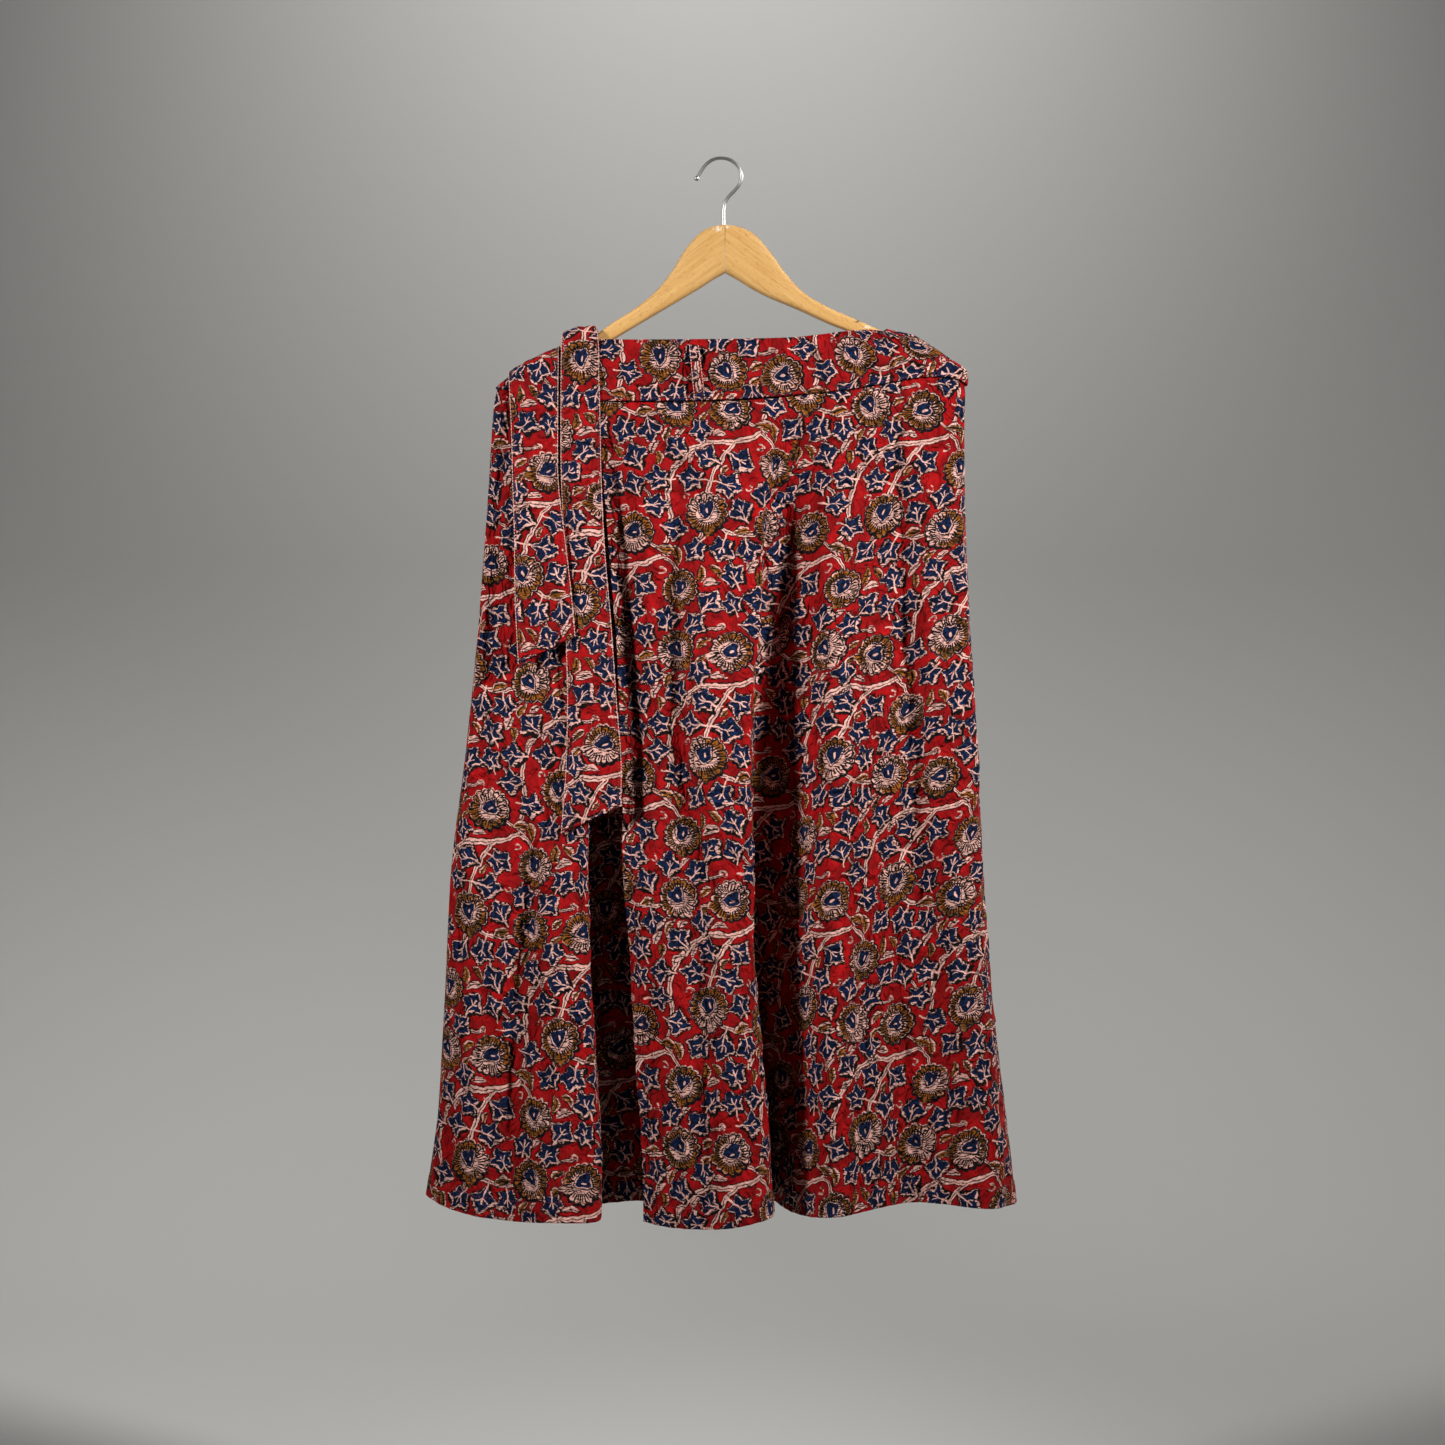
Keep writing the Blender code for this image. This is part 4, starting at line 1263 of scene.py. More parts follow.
@dataclass(frozen=True)
class Sewing:
    """Machine stitches: short round threads that come out of the cloth and go in again.

    stations are the places of the rings along half a stitch's length, and thickness their
    shares of the radius.
    """

    pitch: float = 3.3
    length: float = 2.5
    radius: float = 0.27
    rise: float = 0.42
    sink: float = 0.22
    sides: int = 6
    stations: tuple[float, ...] = (-0.92, -0.5, 0.5, 0.92)
    thickness: tuple[float, ...] = (0.6, 1.0, 1.0, 0.6)
    thread: SewingThread = SewingThread()

    def sew(self, name: str, lines: Sequence[tuple[np.ndarray, np.ndarray]]) -> None:
        """Make one piece's stitches.

        Args:
            name: the piece that they are sewn in.
            lines: for each seam, its points and the cloth's normals there.
        """
        points = np.concatenate([self._stitches(*line) for line in lines])
        starts = np.arange(len(points)) * points.shape[1]
        faces = (self._faces() + starts[:, None, None]).reshape(-1, 4).tolist()
        faces = [face[:3] if face[2] == face[3] else face for face in faces]
        mesh = bpy.data.meshes.new(f"{name}_stitches")
        mesh.from_pydata((points.reshape(-1, 3) * MM).tolist(), [], faces)
        mesh.shade_smooth()
        mesh.materials.append(self.thread.material())
        add_object(f"{name}_stitches", mesh)

    def _faces(self) -> np.ndarray:
        """Return one stitch's faces, in which a triangle repeats its last corner."""
        ring = np.arange(self.sides)
        after = (ring + 1) % self.sides
        bases = 1 + self.sides * np.arange(len(self.stations))
        corners = (ring, after, self.sides + after, self.sides + ring)
        rows = [base + np.stack(corners, -1) for base in bases[:-1]]
        tip, foot = 0 * ring, 0 * ring + bases[-1] + self.sides
        rows.append(np.stack([tip, 1 + after, 1 + ring, 1 + ring], -1))
        last = bases[-1]
        rows.append(np.stack([foot, last + ring, last + after, last + after], -1))
        return np.concatenate(rows)

    def _stitches(self, points: np.ndarray, normals: np.ndarray) -> np.ndarray:
        """Return the points of every stitch along a seam: an arc with round sides.

        Its height is rise times (1 less the station squared), less sink.

        Args:
            points: the seam's course on the cloth.
            normals: the cloth's normals there.
        """
        length = run_length(points)
        count = int(length[-1] / self.pitch)
        marks = (np.arange(count) + 0.5) * length[-1] / count
        centre, ahead, behind = (read_at(points, length, marks + off) for off in (0, 1, -1))
        along = unit(ahead - behind)
        side = unit(np.cross(read_at(normals, length, marks), along))
        up = np.cross(along, side)
        turns = np.arange(self.sides) * 2 * math.pi / self.sides
        rows = [(-1.0, 0.0, 0.0, 0.0)]
        for station, thick in zip(self.stations, self.thickness):
            rows += [(station, thick, math.cos(turn), math.sin(turn)) for turn in turns]
        rows.append((1.0, 0.0, 0.0, 0.0))
        station, thick, cosine, sine = np.array(rows).T
        height = self.rise * (1 - station ** 2) - self.sink + self.radius * thick * sine
        parts = (
            (along, station * self.length / 2), (up, height), (side, self.radius * thick * cosine),
        )
        return centre[:, None] + sum(way[:, None] * far[:, None] for way, far in parts)


# Pale thread that closes the turned edges of the ties and the carrier; its pale line along those
# edges is also a painted highlight, for the light that the rolled edges catch
PALE_THREAD_AND_EDGE_HIGHLIGHT = Sewing(
    pitch=2.9, length=2.7, radius=0.34, thread=SewingThread("pale thread and painted edge highlight", "b88478", "e8c4b6"),
)
EDGE_SEAM = 0.8


def seams(
    outer: np.ndarray, normals: np.ndarray, columns: Sequence[int], rows: Sequence[int] = ()
) -> list[tuple[np.ndarray, np.ndarray]]:
    """Return the points and normals of each seam, down a column or along a row of a grid."""
    down = [(outer[column], normals[column]) for column in columns]
    return down + [(outer[:, row], normals[:, row]) for row in rows]


@dataclass(frozen=True)
class Cloth:
    """What all cloth pieces are made with: the cotton, its print and the sewing."""

    cotton: PrintedCotton = PrintedCotton()
    cloth_print: BlockPrint = BlockPrint()
    sewing: Sewing = Sewing()

    def cut(
        self, piece: ClothPiece, outer: np.ndarray, inner: np.ndarray, flat: np.ndarray
    ) -> bpy.types.Object:
        """Make a printed shell in the place of a piece's solid.

        Args:
            piece: says the name, the solid's node and the print's offset.
            outer: grid of the outer face.
            inner: grid of the inner face.
            flat: grid of flat cloth points.
        """
        mesh = shell_mesh(piece.name, outer, inner, flat)
        self.cloth_print.stamp_faces(mesh, piece.print_offset)
        mesh.materials.append(self.cotton.material())
        made = add_object(piece.name, mesh)
        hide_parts(piece.node)
        return made


class Swell(NamedTuple):
    """One soft unevenness of a panel: its height and its two wavelengths.

    seed is added to the panel's own, and fade is how far below the band it is at its full
    height.
    """

    seed: int
    size: float
    across: float
    down: float
    fade: float


SWELLS = (Swell(0, 1.3, 46, 190, 60), Swell(1, 0.7, 19, 48, 25), Swell(4, 0.36, 14, 16, 25))

# How far a panel's first four rows sink, where it goes under the band's edge
TUCK = (1.4, 1.0, 0.5, 0.2)


@dataclass(frozen=True)
class Panel:
    """One panel of the skirt, cut from printed cloth and hung from the band.

    start and stop are its places along the strip, and free says which of these two edges
    hangs free with a hem of its own. print_offset moves the print on the cloth, and flat
    and area are its cut, with the hem's turning, in metres; flat and area are not used.
    """

    name: str
    node: str
    start: float
    stop: float
    free: tuple[bool, bool]
    anchor: float
    print_offset: tuple[float, float]
    flat: tuple[float, float]
    area: float
    seed: int
    creases: tuple[Crease, ...] = ()
    drop: float = 770.0
    pitch: float = 3.1
    wall: float = 0.8
    hem: float = 20.0
    side_hem: float = 11.0
    hem_rise: float = 0.55
    hem_slope: float = 2.0
    hem_seam: float = 1.8
    side_seam: float = 1.6
    level: float = 0.6
    side_row: int = 120
    still: float = 16.0

    def build(self, cloth: Cloth) -> bpy.types.Object:
        """Lay out the panel's grid, fold it, thicken it, print it and hem it."""
        places = spread(panel_surface, self.start, self.stop, self.level, self.pitch, self.free)
        marks = np.linspace(0, self.drop, round(self.drop / self.pitch) + 1)
        drops = edge_marks(marks, False, True) / self.drop
        face = panel_surface(places, drops)
        normals = strip_normals(panel_surface, places, drops)
        flat = flat_map(face, nearest(places, self.anchor))
        foot, side = self._edge_distances(face)
        hems = ((self.hem - foot) / self.hem_slope, (self.side_hem - side) / self.hem_slope)
        hemmed = np.maximum(*map(ease, hems))
        wall = self.wall * (1 + hemmed)
        roll = rolled(np.minimum(foot, side), wall)
        lift = self._lift(face, flat, drops, foot) + self.hem_rise * hemmed
        lift[:, :len(TUCK)] -= TUCK
        outer = face + normals * (lift - roll)[..., None]
        inner = face + normals * (lift - wall + roll)[..., None]
        made = cloth.cut(self, outer, inner, flat)
        row = nearest(foot[len(places) // 2], self.hem - self.hem_seam)
        columns = []
        if any(self.free):
            columns.append(nearest(side[:, self.side_row], self.side_hem - self.side_seam))
        cloth.sewing.sew(self.name, seams(outer, normals, columns, [row]))
        return made

    def _edge_distances(self, face: np.ndarray) -> tuple[np.ndarray, np.ndarray]:
        """Return each point's distance from the foot, and from the nearest free side edge."""
        down, along = run_length(face, 1), run_length(face, 0)
        side = np.full(face.shape[:2], 1e3)
        for free, run in zip(self.free, (along, along[-1] - along)):
            if free:
                side = np.minimum(side, run)
        return down[:, -1:] - down, side

    def _lift(
        self, face: np.ndarray, flat: np.ndarray, drops: np.ndarray, foot: np.ndarray
    ) -> np.ndarray:
        """Return how far the cloth's own folds and puckers stand off its main form.

        Near a side seam they die away, so that both panels meet there.

        Args:
            face: grid of the main form.
            flat: grid of flat cloth points.
            drops: the levels of the grid's rows.
            foot: each point's distance from the foot.
        """
        below = face[:, :1, 2] - face[..., 2]
        lift = crease_lift(face, self.creases)
        for swell in SWELLS:
            waves = unevenness(flat, self.seed + swell.seed, swell.size, swell.across, swell.down)
            lift += waves * ease(below / swell.fade)
        lift += np.abs(puckers(flat, below, self.seed + 2, 0.8, 16.0))
        lift += puckers(flat, foot, self.seed + 3, 0.5, 22.0)
        for place, free in zip((self.start, self.stop), self.free):
            if not free:
                seam = panel_surface(np.array([place]), drops)
                lift *= ease(np.linalg.norm(face - seam, axis=-1) / self.still)
        return lift


@dataclass(frozen=True)
class Waistband:
    """The folded band that all panels are sewn to, its outer end lapped over its inner end.

    depth is the cloth's, and room is what the surface has from its rim to the panels' seam.
    Towards the plain back the print's threads are set upright.
    """

    name: str = "band"
    node: str = "waistband"
    wall: float = 1.5
    pitch: float = 2.6
    rows: int = 23
    depth: float = 58.8
    room: float = 59.4
    level: float = 0.5
    rise: float = 1.3
    welt: float = 12.0
    stitch_line: float = 2.6
    end_line: float = 3.0
    groove: float = 0.3
    anchor: float = 3.0
    evenings: int = 4
    flat: tuple[float, float] = (1.14, 0.062)
    print_offset: tuple[float, float] = (62.0, -8.0)
    creases: tuple[Crease, ...] = crease_table(
        (((84, -168), (108, -214)), 2.8, 4.5, 0.3), (((104, -164), (132, -210)), 2.8, 5.0, 0.3),
        (((52, -170), (80, -224)), 2.0, 6.0), (((126, -162), (158, -206)), 3.0, 6.0, 0.3),
        (((-80, -174), (-60, -230)), 2.2, 7.0), (((16, -172), (34, -228)), 1.8, 6.0),
        (((152, -164), (190, -206)), 2.6, 6.0), (((-36, -174), (-30, -228)), 1.6, 6.0),
    )

    def build(self, cloth: Cloth) -> bpy.types.Object:
        """Lay the band over the arms, with rolled upper and lower edges."""
        places = spread(band_surface, 0, LAST_LINE, self.level, self.pitch, (True, True))
        drops = edge_marks(np.linspace(0, self.depth, self.rows), True, True) / self.room
        face = band_surface(places, drops)
        normals = strip_normals(band_surface, places, drops)
        for _ in range(self.evenings):
            normals = evened(normals)
        flat = flat_map(face, nearest(places, self.anchor))
        mean = flat[..., 0].mean(axis=1, keepdims=True)
        flat[..., 0] += ease((places - 5.0) / 5.5)[:, None] * (mean - flat[..., 0])
        down = np.broadcast_to(drops * self.room, face.shape[:2])
        foot = self.depth - down
        ends = [np.linalg.norm(face - end, axis=-1) for end in (face[:1], face[-1:])]
        edge = np.minimum(np.minimum(down, foot), np.minimum(*ends))
        lift = np.abs(unevenness(flat, 61, 0.45, 30.0, 50.0)) * ease(down / 8) * ease(foot / 6)
        lift += np.abs(puckers(flat, foot, 62, 0.5, 6.0))
        lift += self.rise * ease((self.welt - foot) / self.welt)
        lift += np.maximum(crease_lift(face, self.creases), -0.4)
        lift -= ridge(np.minimum(down, foot), self.stitch_line, self.groove)
        roll = rolled(edge, self.wall)
        outer = face + normals * (lift - roll)[..., None]
        inner = face + normals * (np.minimum(lift, 0.1) - self.wall + roll)[..., None]
        made = cloth.cut(self, outer, inner, flat)
        row, column = nearest(foot[0], self.stitch_line), nearest(ends[0][:, 10], self.end_line)
        cloth.sewing.sew(self.name, seams(outer, normals, [column], [row]))
        return made


@dataclass(frozen=True)
class BeltLoop:
    """The carrier on the band: a narrow folded strip that bows out between its ends."""

    name: str = "carrier"
    node: str = "belt_loop"
    line: float = 2.42
    width: float = 9.6
    wall: float = 1.3
    top: float = 0.10
    foot: float = 0.985
    bow: float = 6.5
    seam_gap: float = 0.3
    columns: int = 9
    rows: int = 30
    run: float = 50.0
    margin: float = 2.2
    flat: tuple[float, float] = (0.0115, 0.052)
    print_offset: tuple[float, float] = (41.5, -151.0)

    def build(self, cloth: Cloth) -> bpy.types.Object:
        """Raise a strip off the band's own surface and bow it with a half sine."""
        half = self.width / 2
        across = edge_marks(np.linspace(-half, half, self.columns), True, True)
        before = int(self.line)
        places = self.line + across / np.linalg.norm(RIM_ROW[before + 1] - RIM_ROW[before])
        drops = np.linspace(self.top, self.foot, self.rows)
        share = (drops - self.top) / (self.foot - self.top)
        face = band_surface(places, drops)
        normals = outward(face)
        lift = self.seam_gap + self.wall + self.bow * np.sin(math.pi * share)
        raised = face + normals * lift[:, None]
        side = np.broadcast_to((half - np.abs(across))[:, None], raised.shape[:2])
        roll = rolled(np.minimum(side, np.minimum(share, 1 - share) * self.run), self.wall)
        groove = ridge(side, 2.0, 0.18, 0.7)
        outer = raised - normals * (roll + groove)[..., None]
        inner = raised - normals * (self.wall - roll)[..., None]
        made = cloth.cut(self, outer, inner, flat_map(raised, 4))
        # The pale edge stitches are real thread and also a painted highlight along the carrier's
        # rolled edges
        for sewing, name, margin in (
            (cloth.sewing, self.name, self.margin), (PALE_THREAD_AND_EDGE_HIGHLIGHT, f"{self.name}_edge", EDGE_SEAM),
        ):
            columns = [nearest(across, margin - half), nearest(across, half - margin)]
            sewing.sew(name, seams(outer, normals, columns))
        return made


class TieRow(NamedTuple):
    """One row across a tie: its left and right ends as x and z, and its y."""

    left: tuple
    right: tuple
    depth: float


TIE_LONG = (
    TieRow((-150, -217), (-115, -221), 17.0),
    TieRow((-150, -203), (-115, -204), 16.4),
    TieRow((-150, -182), (-115, -179), 14.6),
    TieRow((-150, -168.5), (-116, -164), 11.6),
    TieRow((-150, -163), (-117, -157.2), 0.0),
    TieRow((-150, -168.5), (-116, -164), -11.8),
    TieRow((-150.4, -180), (-114.3, -180), -15.2),
    TieRow((-150.6, -205), (-114.0, -205), -17.8),
    TieRow((-150.6, -257), (-112.5, -257), -21.8),
    TieRow((-150.0, -303), (-111.5, -303), -24.8),
    TieRow((-147.5, -363), (-108.6, -363), -28.0),
    TieRow((-145.6, -441), (-101.8, -441), -32.5),
    TieRow((-143.4, -514), (-96.4, -514), -38.4),
    TieRow((-145.0, -580), (-91.7, -568), -44.4),
    TieRow((-148.8, -635), (-91.7, -609), -49.4),
)
TIE_SHORT = (
    TieRow((-197, -219), (-152.5, -219), 16.6),
    TieRow((-198.5, -213.5), (-152.5, -204), 16.0),
    TieRow((-200, -206.5), (-152.0, -184), 13.4),
    TieRow((-200.5, -200.6), (-152.0, -176.0), 0.0),
    TieRow((-200, -207), (-152.0, -184), -13.2),
    TieRow((-199, -222), (-152.2, -206), -16.6),
    TieRow((-197, -257), (-152.4, -257), -20.8),
    TieRow((-195.5, -303), (-151.8, -303), -25.6),
    TieRow((-193.3, -363), (-144.6, -363), -31.8),
    TieRow((-192.6, -411), (-139.4, -405), -35.2),
    TieRow((-189.2, -478), (-134.9, -451), -39.0),
)


@dataclass(frozen=True)
class Tie:
    """A tie: a double strip, turned and stitched, that goes over the arm and hangs down.

    cross_seams are the heights of seams across it, where its cloth was pieced, and level is
    the row at which the print's height is counted.
    """

    name: str
    node: str
    rows: tuple[TieRow, ...]
    flat: tuple[float, float]
    area: float
    print_offset: tuple[float, float]
    seed: int
    level: int
    creases: tuple[Crease, ...] = ()
    cross_seams: tuple[float, ...] = ()
    wall: float = 1.9
    pitch: float = 2.6
    cup: float = 1.4
    margin: float = 2.8
    groove: float = 0.35
    welt: float = 0.5
    welt_line: float = 1.2
    end_seam: float = 11.5

    def build(self, cloth: Cloth) -> bpy.types.Object:
        """Sweep the tie through its rows, cupped by a half sine, with rolled edges."""
        ends = np.array([(*row.left, *row.right, row.depth) for row in self.rows], dtype=float)
        left, right = ends[:, (0, 4, 1)], ends[:, (2, 4, 3)]
        fine = np.linspace(0, len(self.rows) - 1, 600)
        length = run_length(smooth_through((left + right) / 2, fine))
        marks = np.linspace(0, length[-1], round(length[-1] / self.pitch))
        marks = edge_marks(marks, True, True)
        places = np.interp(marks, length, fine)
        left, right = smooth_through(left, places), smooth_through(right, places)
        width = float(np.linalg.norm(right - left, axis=-1).mean())
        across = edge_marks(np.linspace(0, width, round(width / self.pitch)), True, True)
        share = (across / width)[:, None, None]
        face = left + (right - left) * share
        face = face + outward(face) * self.cup * np.sin(math.pi * share)
        normals = outward(face)
        flat = flat_map(face, len(across) // 2, nearest(places, self.level))
        side = np.broadcast_to(np.minimum(across, width - across)[:, None], face.shape[:2])
        tip = np.minimum(marks, marks[-1] - marks)[None, :]
        edge = np.minimum(side, tip)
        lift = np.abs(unevenness(flat, self.seed, 1.1, 26.0, 60.0))
        lift = lift * ease(side / 8) * ease(tip / 30)
        lift += crease_lift(face, self.creases) * (face[..., 1] < 0)
        groove = ridge(edge, self.margin, self.groove) - ridge(edge, self.welt_line, self.welt)
        for height in self.cross_seams:
            groove += ridge(face[..., 2], height, 0.7, 1.6)
        roll = rolled(edge, self.wall)
        outer = face + normals * (np.maximum(lift, -0.2) - roll - groove)[..., None]
        inner = face + normals * (np.maximum(lift, 0) - self.wall + roll)[..., None]
        made = cloth.cut(self, outer, inner, flat)
        rows = [nearest(marks, marks[-1] - margin) for margin in (self.margin, self.end_seam)]
        rows += [nearest(face[0, :, 2], height) for height in self.cross_seams]
        columns = [nearest(across, self.margin), nearest(across, width - self.margin)]
        cloth.sewing.sew(self.name, seams(outer, normals, columns, rows))
        # The pale edge stitches are real thread and also a painted highlight along the tie's rolled
        # edges
        columns = [nearest(across, EDGE_SEAM), nearest(across, width - EDGE_SEAM)]
        PALE_THREAD_AND_EDGE_HIGHLIGHT.sew(f"{self.name}_edge", seams(outer, normals, columns))
        return made


ClothPiece = Panel | Waistband | BeltLoop | Tie

FRONT_CREASES = crease_table(
    (
        ((-24, -270), (-21, -409), (-21, -500), (-16, -556), (-6, -622), (10, -700)),
        10.5, 19.0, 0.62,
    ),
    (((-104, -244), (-100, -350), (-94, -441), (-86, -514), (-82, -650)), -10.0, 12.0, 0.3),
    (((34, -240), (40, -300), (32, -400), (20, -520), (14, -600)), 5.0, 11.0),
    (((70, -240), (68, -290), (63, -380), (52, -470)), -8.0, 12.0, 0.3),
    (((100, -236), (103, -320), (106, -440), (104, -600), (98, -760)), 5.0, 13.0),
    (((138, -232), (146, -330), (150, -420)), -3.2, 9.0),
    (
        ((158, -236), (166, -330), (173, -430), (181, -520), (186, -620), (188, -760)),
        -5.5, 8.0, -0.3,
    ),
    (((176, -230), (188, -330), (198, -480), (206, -600)), 3.6, 9.0),
    (((224, -300), (232, -480), (238, -700), (250, -900)), 3.0, 9.0),
    (((0, -690), (14, -840), (20, -990)), 2.2, 12.0),
    (((-54, -620), (-44, -780), (-46, -990)), 2.6, 10.0),
    (((-84, -660), (-90, -820), (-98, -992)), -2.0, 9.0),
    (((-22, -700), (-14, -840), (-16, -992)), -2.4, 9.0),
    (((118, -600), (128, -760), (124, -985)), -2.6, 10.0),
    (((150, -680), (156, -840), (152, -985)), 2.4, 10.0),
    (((214, -660), (222, -820), (232, -975)), 2.0, 8.0),
    (((112, -225), (88, -262), (64, -305)), 3.2, 6.0),
    (((140, -222), (126, -262), (112, -305)), 2.6, 6.0),
    (((-78, -238), (-50, -264), (-8, -302), (24, -340)), 4.0, 8.0),
    (((20, -232), (26, -290), (22, -380)), -1.6, 7.0),
    (((186, -216), (176, -260), (170, -310)), 1.6, 6.0),
)
BACK_CREASES = crease_table(
    (((-120, -250), (-134, -520), (-140, -800)), 3.6, 10.0),
    (((-92, -250), (-104, -420), (-112, -640)), -3.4, 9.0),
    (((60, -250), (50, -480), (58, -760)), -3.8, 10.0),
    (((84, -245), (78, -420), (86, -640)), 3.0, 9.0),
    (((150, -240), (168, -520), (172, -900)), 3.2, 10.0),
    (((186, -300), (202, -560), (210, -880)), -3.0, 8.0),
    (((-30, -400), (-20, -640), (-28, -960)), 3.0, 13.0),
    (((0, -240), (-8, -420), (4, -600)), 2.4, 8.0),
    (((-190, -260), (-204, -560), (-210, -900)), -3.0, 8.0),
    (((-168, -300), (-178, -520), (-180, -760)), 2.4, 9.0),
    (((104, -560), (112, -760), (104, -975)), 3.0, 11.0),
    (((-84, -600), (-76, -800), (-82, -975)), -3.0, 10.0),
    (((20, -640), (28, -820), (24, -975)), -2.6, 10.0),
    (((-228, -560), (-238, -760), (-246, -960)), 2.0, 8.0),
)
UNDER_CREASES = crease_table(
    (((-172, -690), (-186, -750), (-192, -796), (-196, -850), (-199, -985)), -4.0, 5.5),
    (((-190, -660), (-202, -790), (-212, -930)), 2.6, 8.0),
    (((-160, -620), (-168, -760), (-172, -930)), 2.4, 8.0),
    (((-222, -300), (-230, -480), (-238, -640), (-246, -820)), 2.4, 7.0),
    (((-236, -600), (-246, -760), (-256, -960)), -2.0, 7.0),
    (((-142, -680), (-136, -820), (-134, -985)), -2.4, 8.0),
    (((-206, -250), (-212, -380), (-218, -520)), -2.0, 6.0),
)
LONG_TIE_CREASES = crease_table(
    (((-138, -200), (-140, -300), (-134, -420), (-128, -540)), 1.6, 5.0),
    (((-122, -300), (-118, -420), (-110, -600)), -1.2, 5.0),
)
SHORT_TIE_CREASES = crease_table(
    (((-184, -215), (-182, -300), (-178, -420)), 1.6, 6.0),
    (((-166, -230), (-166, -330), (-158, -450)), -1.4, 6.0),
)

# How far a panel keeps clear of a side seam, in places along the strip
SEAM_ROOM = 0.004


@dataclass(frozen=True)
class Skirt:
    """The whole garment: three panels, the band, its carrier and both ties."""

    cloth: Cloth = Cloth()
    pieces: tuple[ClothPiece, ...] = (
        Panel(
            "front_panel", "front_outer", start=0, stop=RIGHT_FOLD - SEAM_ROOM,
            free=(True, False), anchor=3, print_offset=(14.0, -270.0), flat=(0.56, 0.80),
            area=0.36, seed=11, creases=FRONT_CREASES,
        ),
        Panel(
            "back_panel", "back", start=RIGHT_FOLD + SEAM_ROOM, stop=LEFT_FOLD - SEAM_ROOM,
            free=(False, False), anchor=18, print_offset=(-30.0, -250.0), flat=(0.62, 0.80),
            area=0.44, seed=21, creases=BACK_CREASES,
        ),
        Panel(
            "under_panel", "front_under", start=LEFT_FOLD + SEAM_ROOM, stop=LAST_LINE,
            free=(False, True), anchor=29, print_offset=(60.0, -300.0), flat=(0.50, 0.80),
            area=0.35, seed=31, creases=UNDER_CREASES,
        ),
        Waistband(),
        BeltLoop(),
        Tie(
            "tie_front", "tie_long", TIE_LONG, flat=(0.057, 0.57), area=0.024,
            print_offset=(-12.0, -240.0), seed=41, level=8, creases=LONG_TIE_CREASES,
        ),
        Tie(
            "tie_side", "tie_short", TIE_SHORT, flat=(0.058, 0.34), area=0.0155,
            print_offset=(-66.0, -214.0), seed=51, level=6, creases=SHORT_TIE_CREASES,
            cross_seams=(-283.0,),
        ),
    )

    def build(self) -> None:
        """Build and dress every piece of the garment."""
        for piece in self.pieces:
            report(piece.build(self.cloth))


class BoardRow(NamedTuple):
    """One upright section of the hanger: its x and the heights of its two edges."""

    x: float
    top: float
    foot: float


# From the left tip over the glued joint to the right tip
BOARD = (
    BoardRow(-206, -212.8, -219.0),
    BoardRow(-202, -209.6, -221.0),
    BoardRow(-195, -206.8, -220.4),
    BoardRow(-184, -202.4, -216.4),
    BoardRow(-172, -195.4, -210.5),
    BoardRow(-150, -182.0, -198.5),
    BoardRow(-121.5, -167.8, -181.6),
    BoardRow(-103, -154.6, -170.6),
    BoardRow(-79.7, -139.7, -156.8),
    BoardRow(-60.5, -123.4, -145.4),
    BoardRow(-46.9, -106.2, -137.4),
    BoardRow(-33.4, -84.6, -129.4),
    BoardRow(-18, -68.2, -120.1),
    BoardRow(-8, -63.2, -113.6),
    BoardRow(3.8, -61.6, -106.8),
    BoardRow(16, -63.2, -113.8),
    BoardRow(28.4, -68.4, -121.5),
    BoardRow(45.7, -86.2, -130.4),
    BoardRow(61.1, -107.4, -136.8),
    BoardRow(76.5, -124.3, -143.4),
    BoardRow(105.6, -141.7, -156.6),
    BoardRow(124.7, -149.8, -163.8),
    BoardRow(157, -163.8, -178.6),
    BoardRow(184, -172.8, -191.4),
    BoardRow(207, -187.6, -204.6),
    BoardRow(218, -198.6, -212.6),
    BoardRow(223.5, -206.2, -217.0),
    BoardRow(226.5, -210.6, -215.6),
)
JOINT = 14

# The hook's centre line, as x and z, from its balled tip over the top and down to its foot
HOOK_ROUTE = (
    (-24.0, -19.6), (-18.8, -10.6), (-12.2, -2.6), (-4.6, 1.3), (3.4, 1.5), (10.8, -1.2),
    (16.8, -7.0), (19.4, -14.6), (17.2, -23.2), (12.4, -29.4), (7.4, -34.6), (3.8, -40.6),
    (2.5, -48.0), (2.5, -58.0), (2.5, -69.0), (2.5, -80.0),
)
SHARP_ANGLE = 50.0


def tube_mesh(name: str, rings: np.ndarray) -> bpy.types.Mesh:
    """Make a closed tube through rings of points that turn anticlockwise round its way ahead.

    Args:
        name: the mesh's name.
        rings: points in millimetres, along the tube and then round it.
    """
    count, sides = rings.shape[:2]
    base, ring = np.arange(count - 1)[:, None] * sides, np.arange(sides)
    start, after = base + ring, base + (ring + 1) % sides
    faces = np.stack([start, after, after + sides, start + sides], axis=-1).reshape(-1, 4).tolist()
    faces += [ring[::-1].tolist(), ((count - 1) * sides + ring).tolist()]
    mesh = bpy.data.meshes.new(name)
    mesh.from_pydata((rings.reshape(-1, 3) * MM).tolist(), [], faces)
    mesh.shade_smooth()
    mesh.set_sharp_from_angle(angle=math.radians(SHARP_ANGLE))
    return mesh


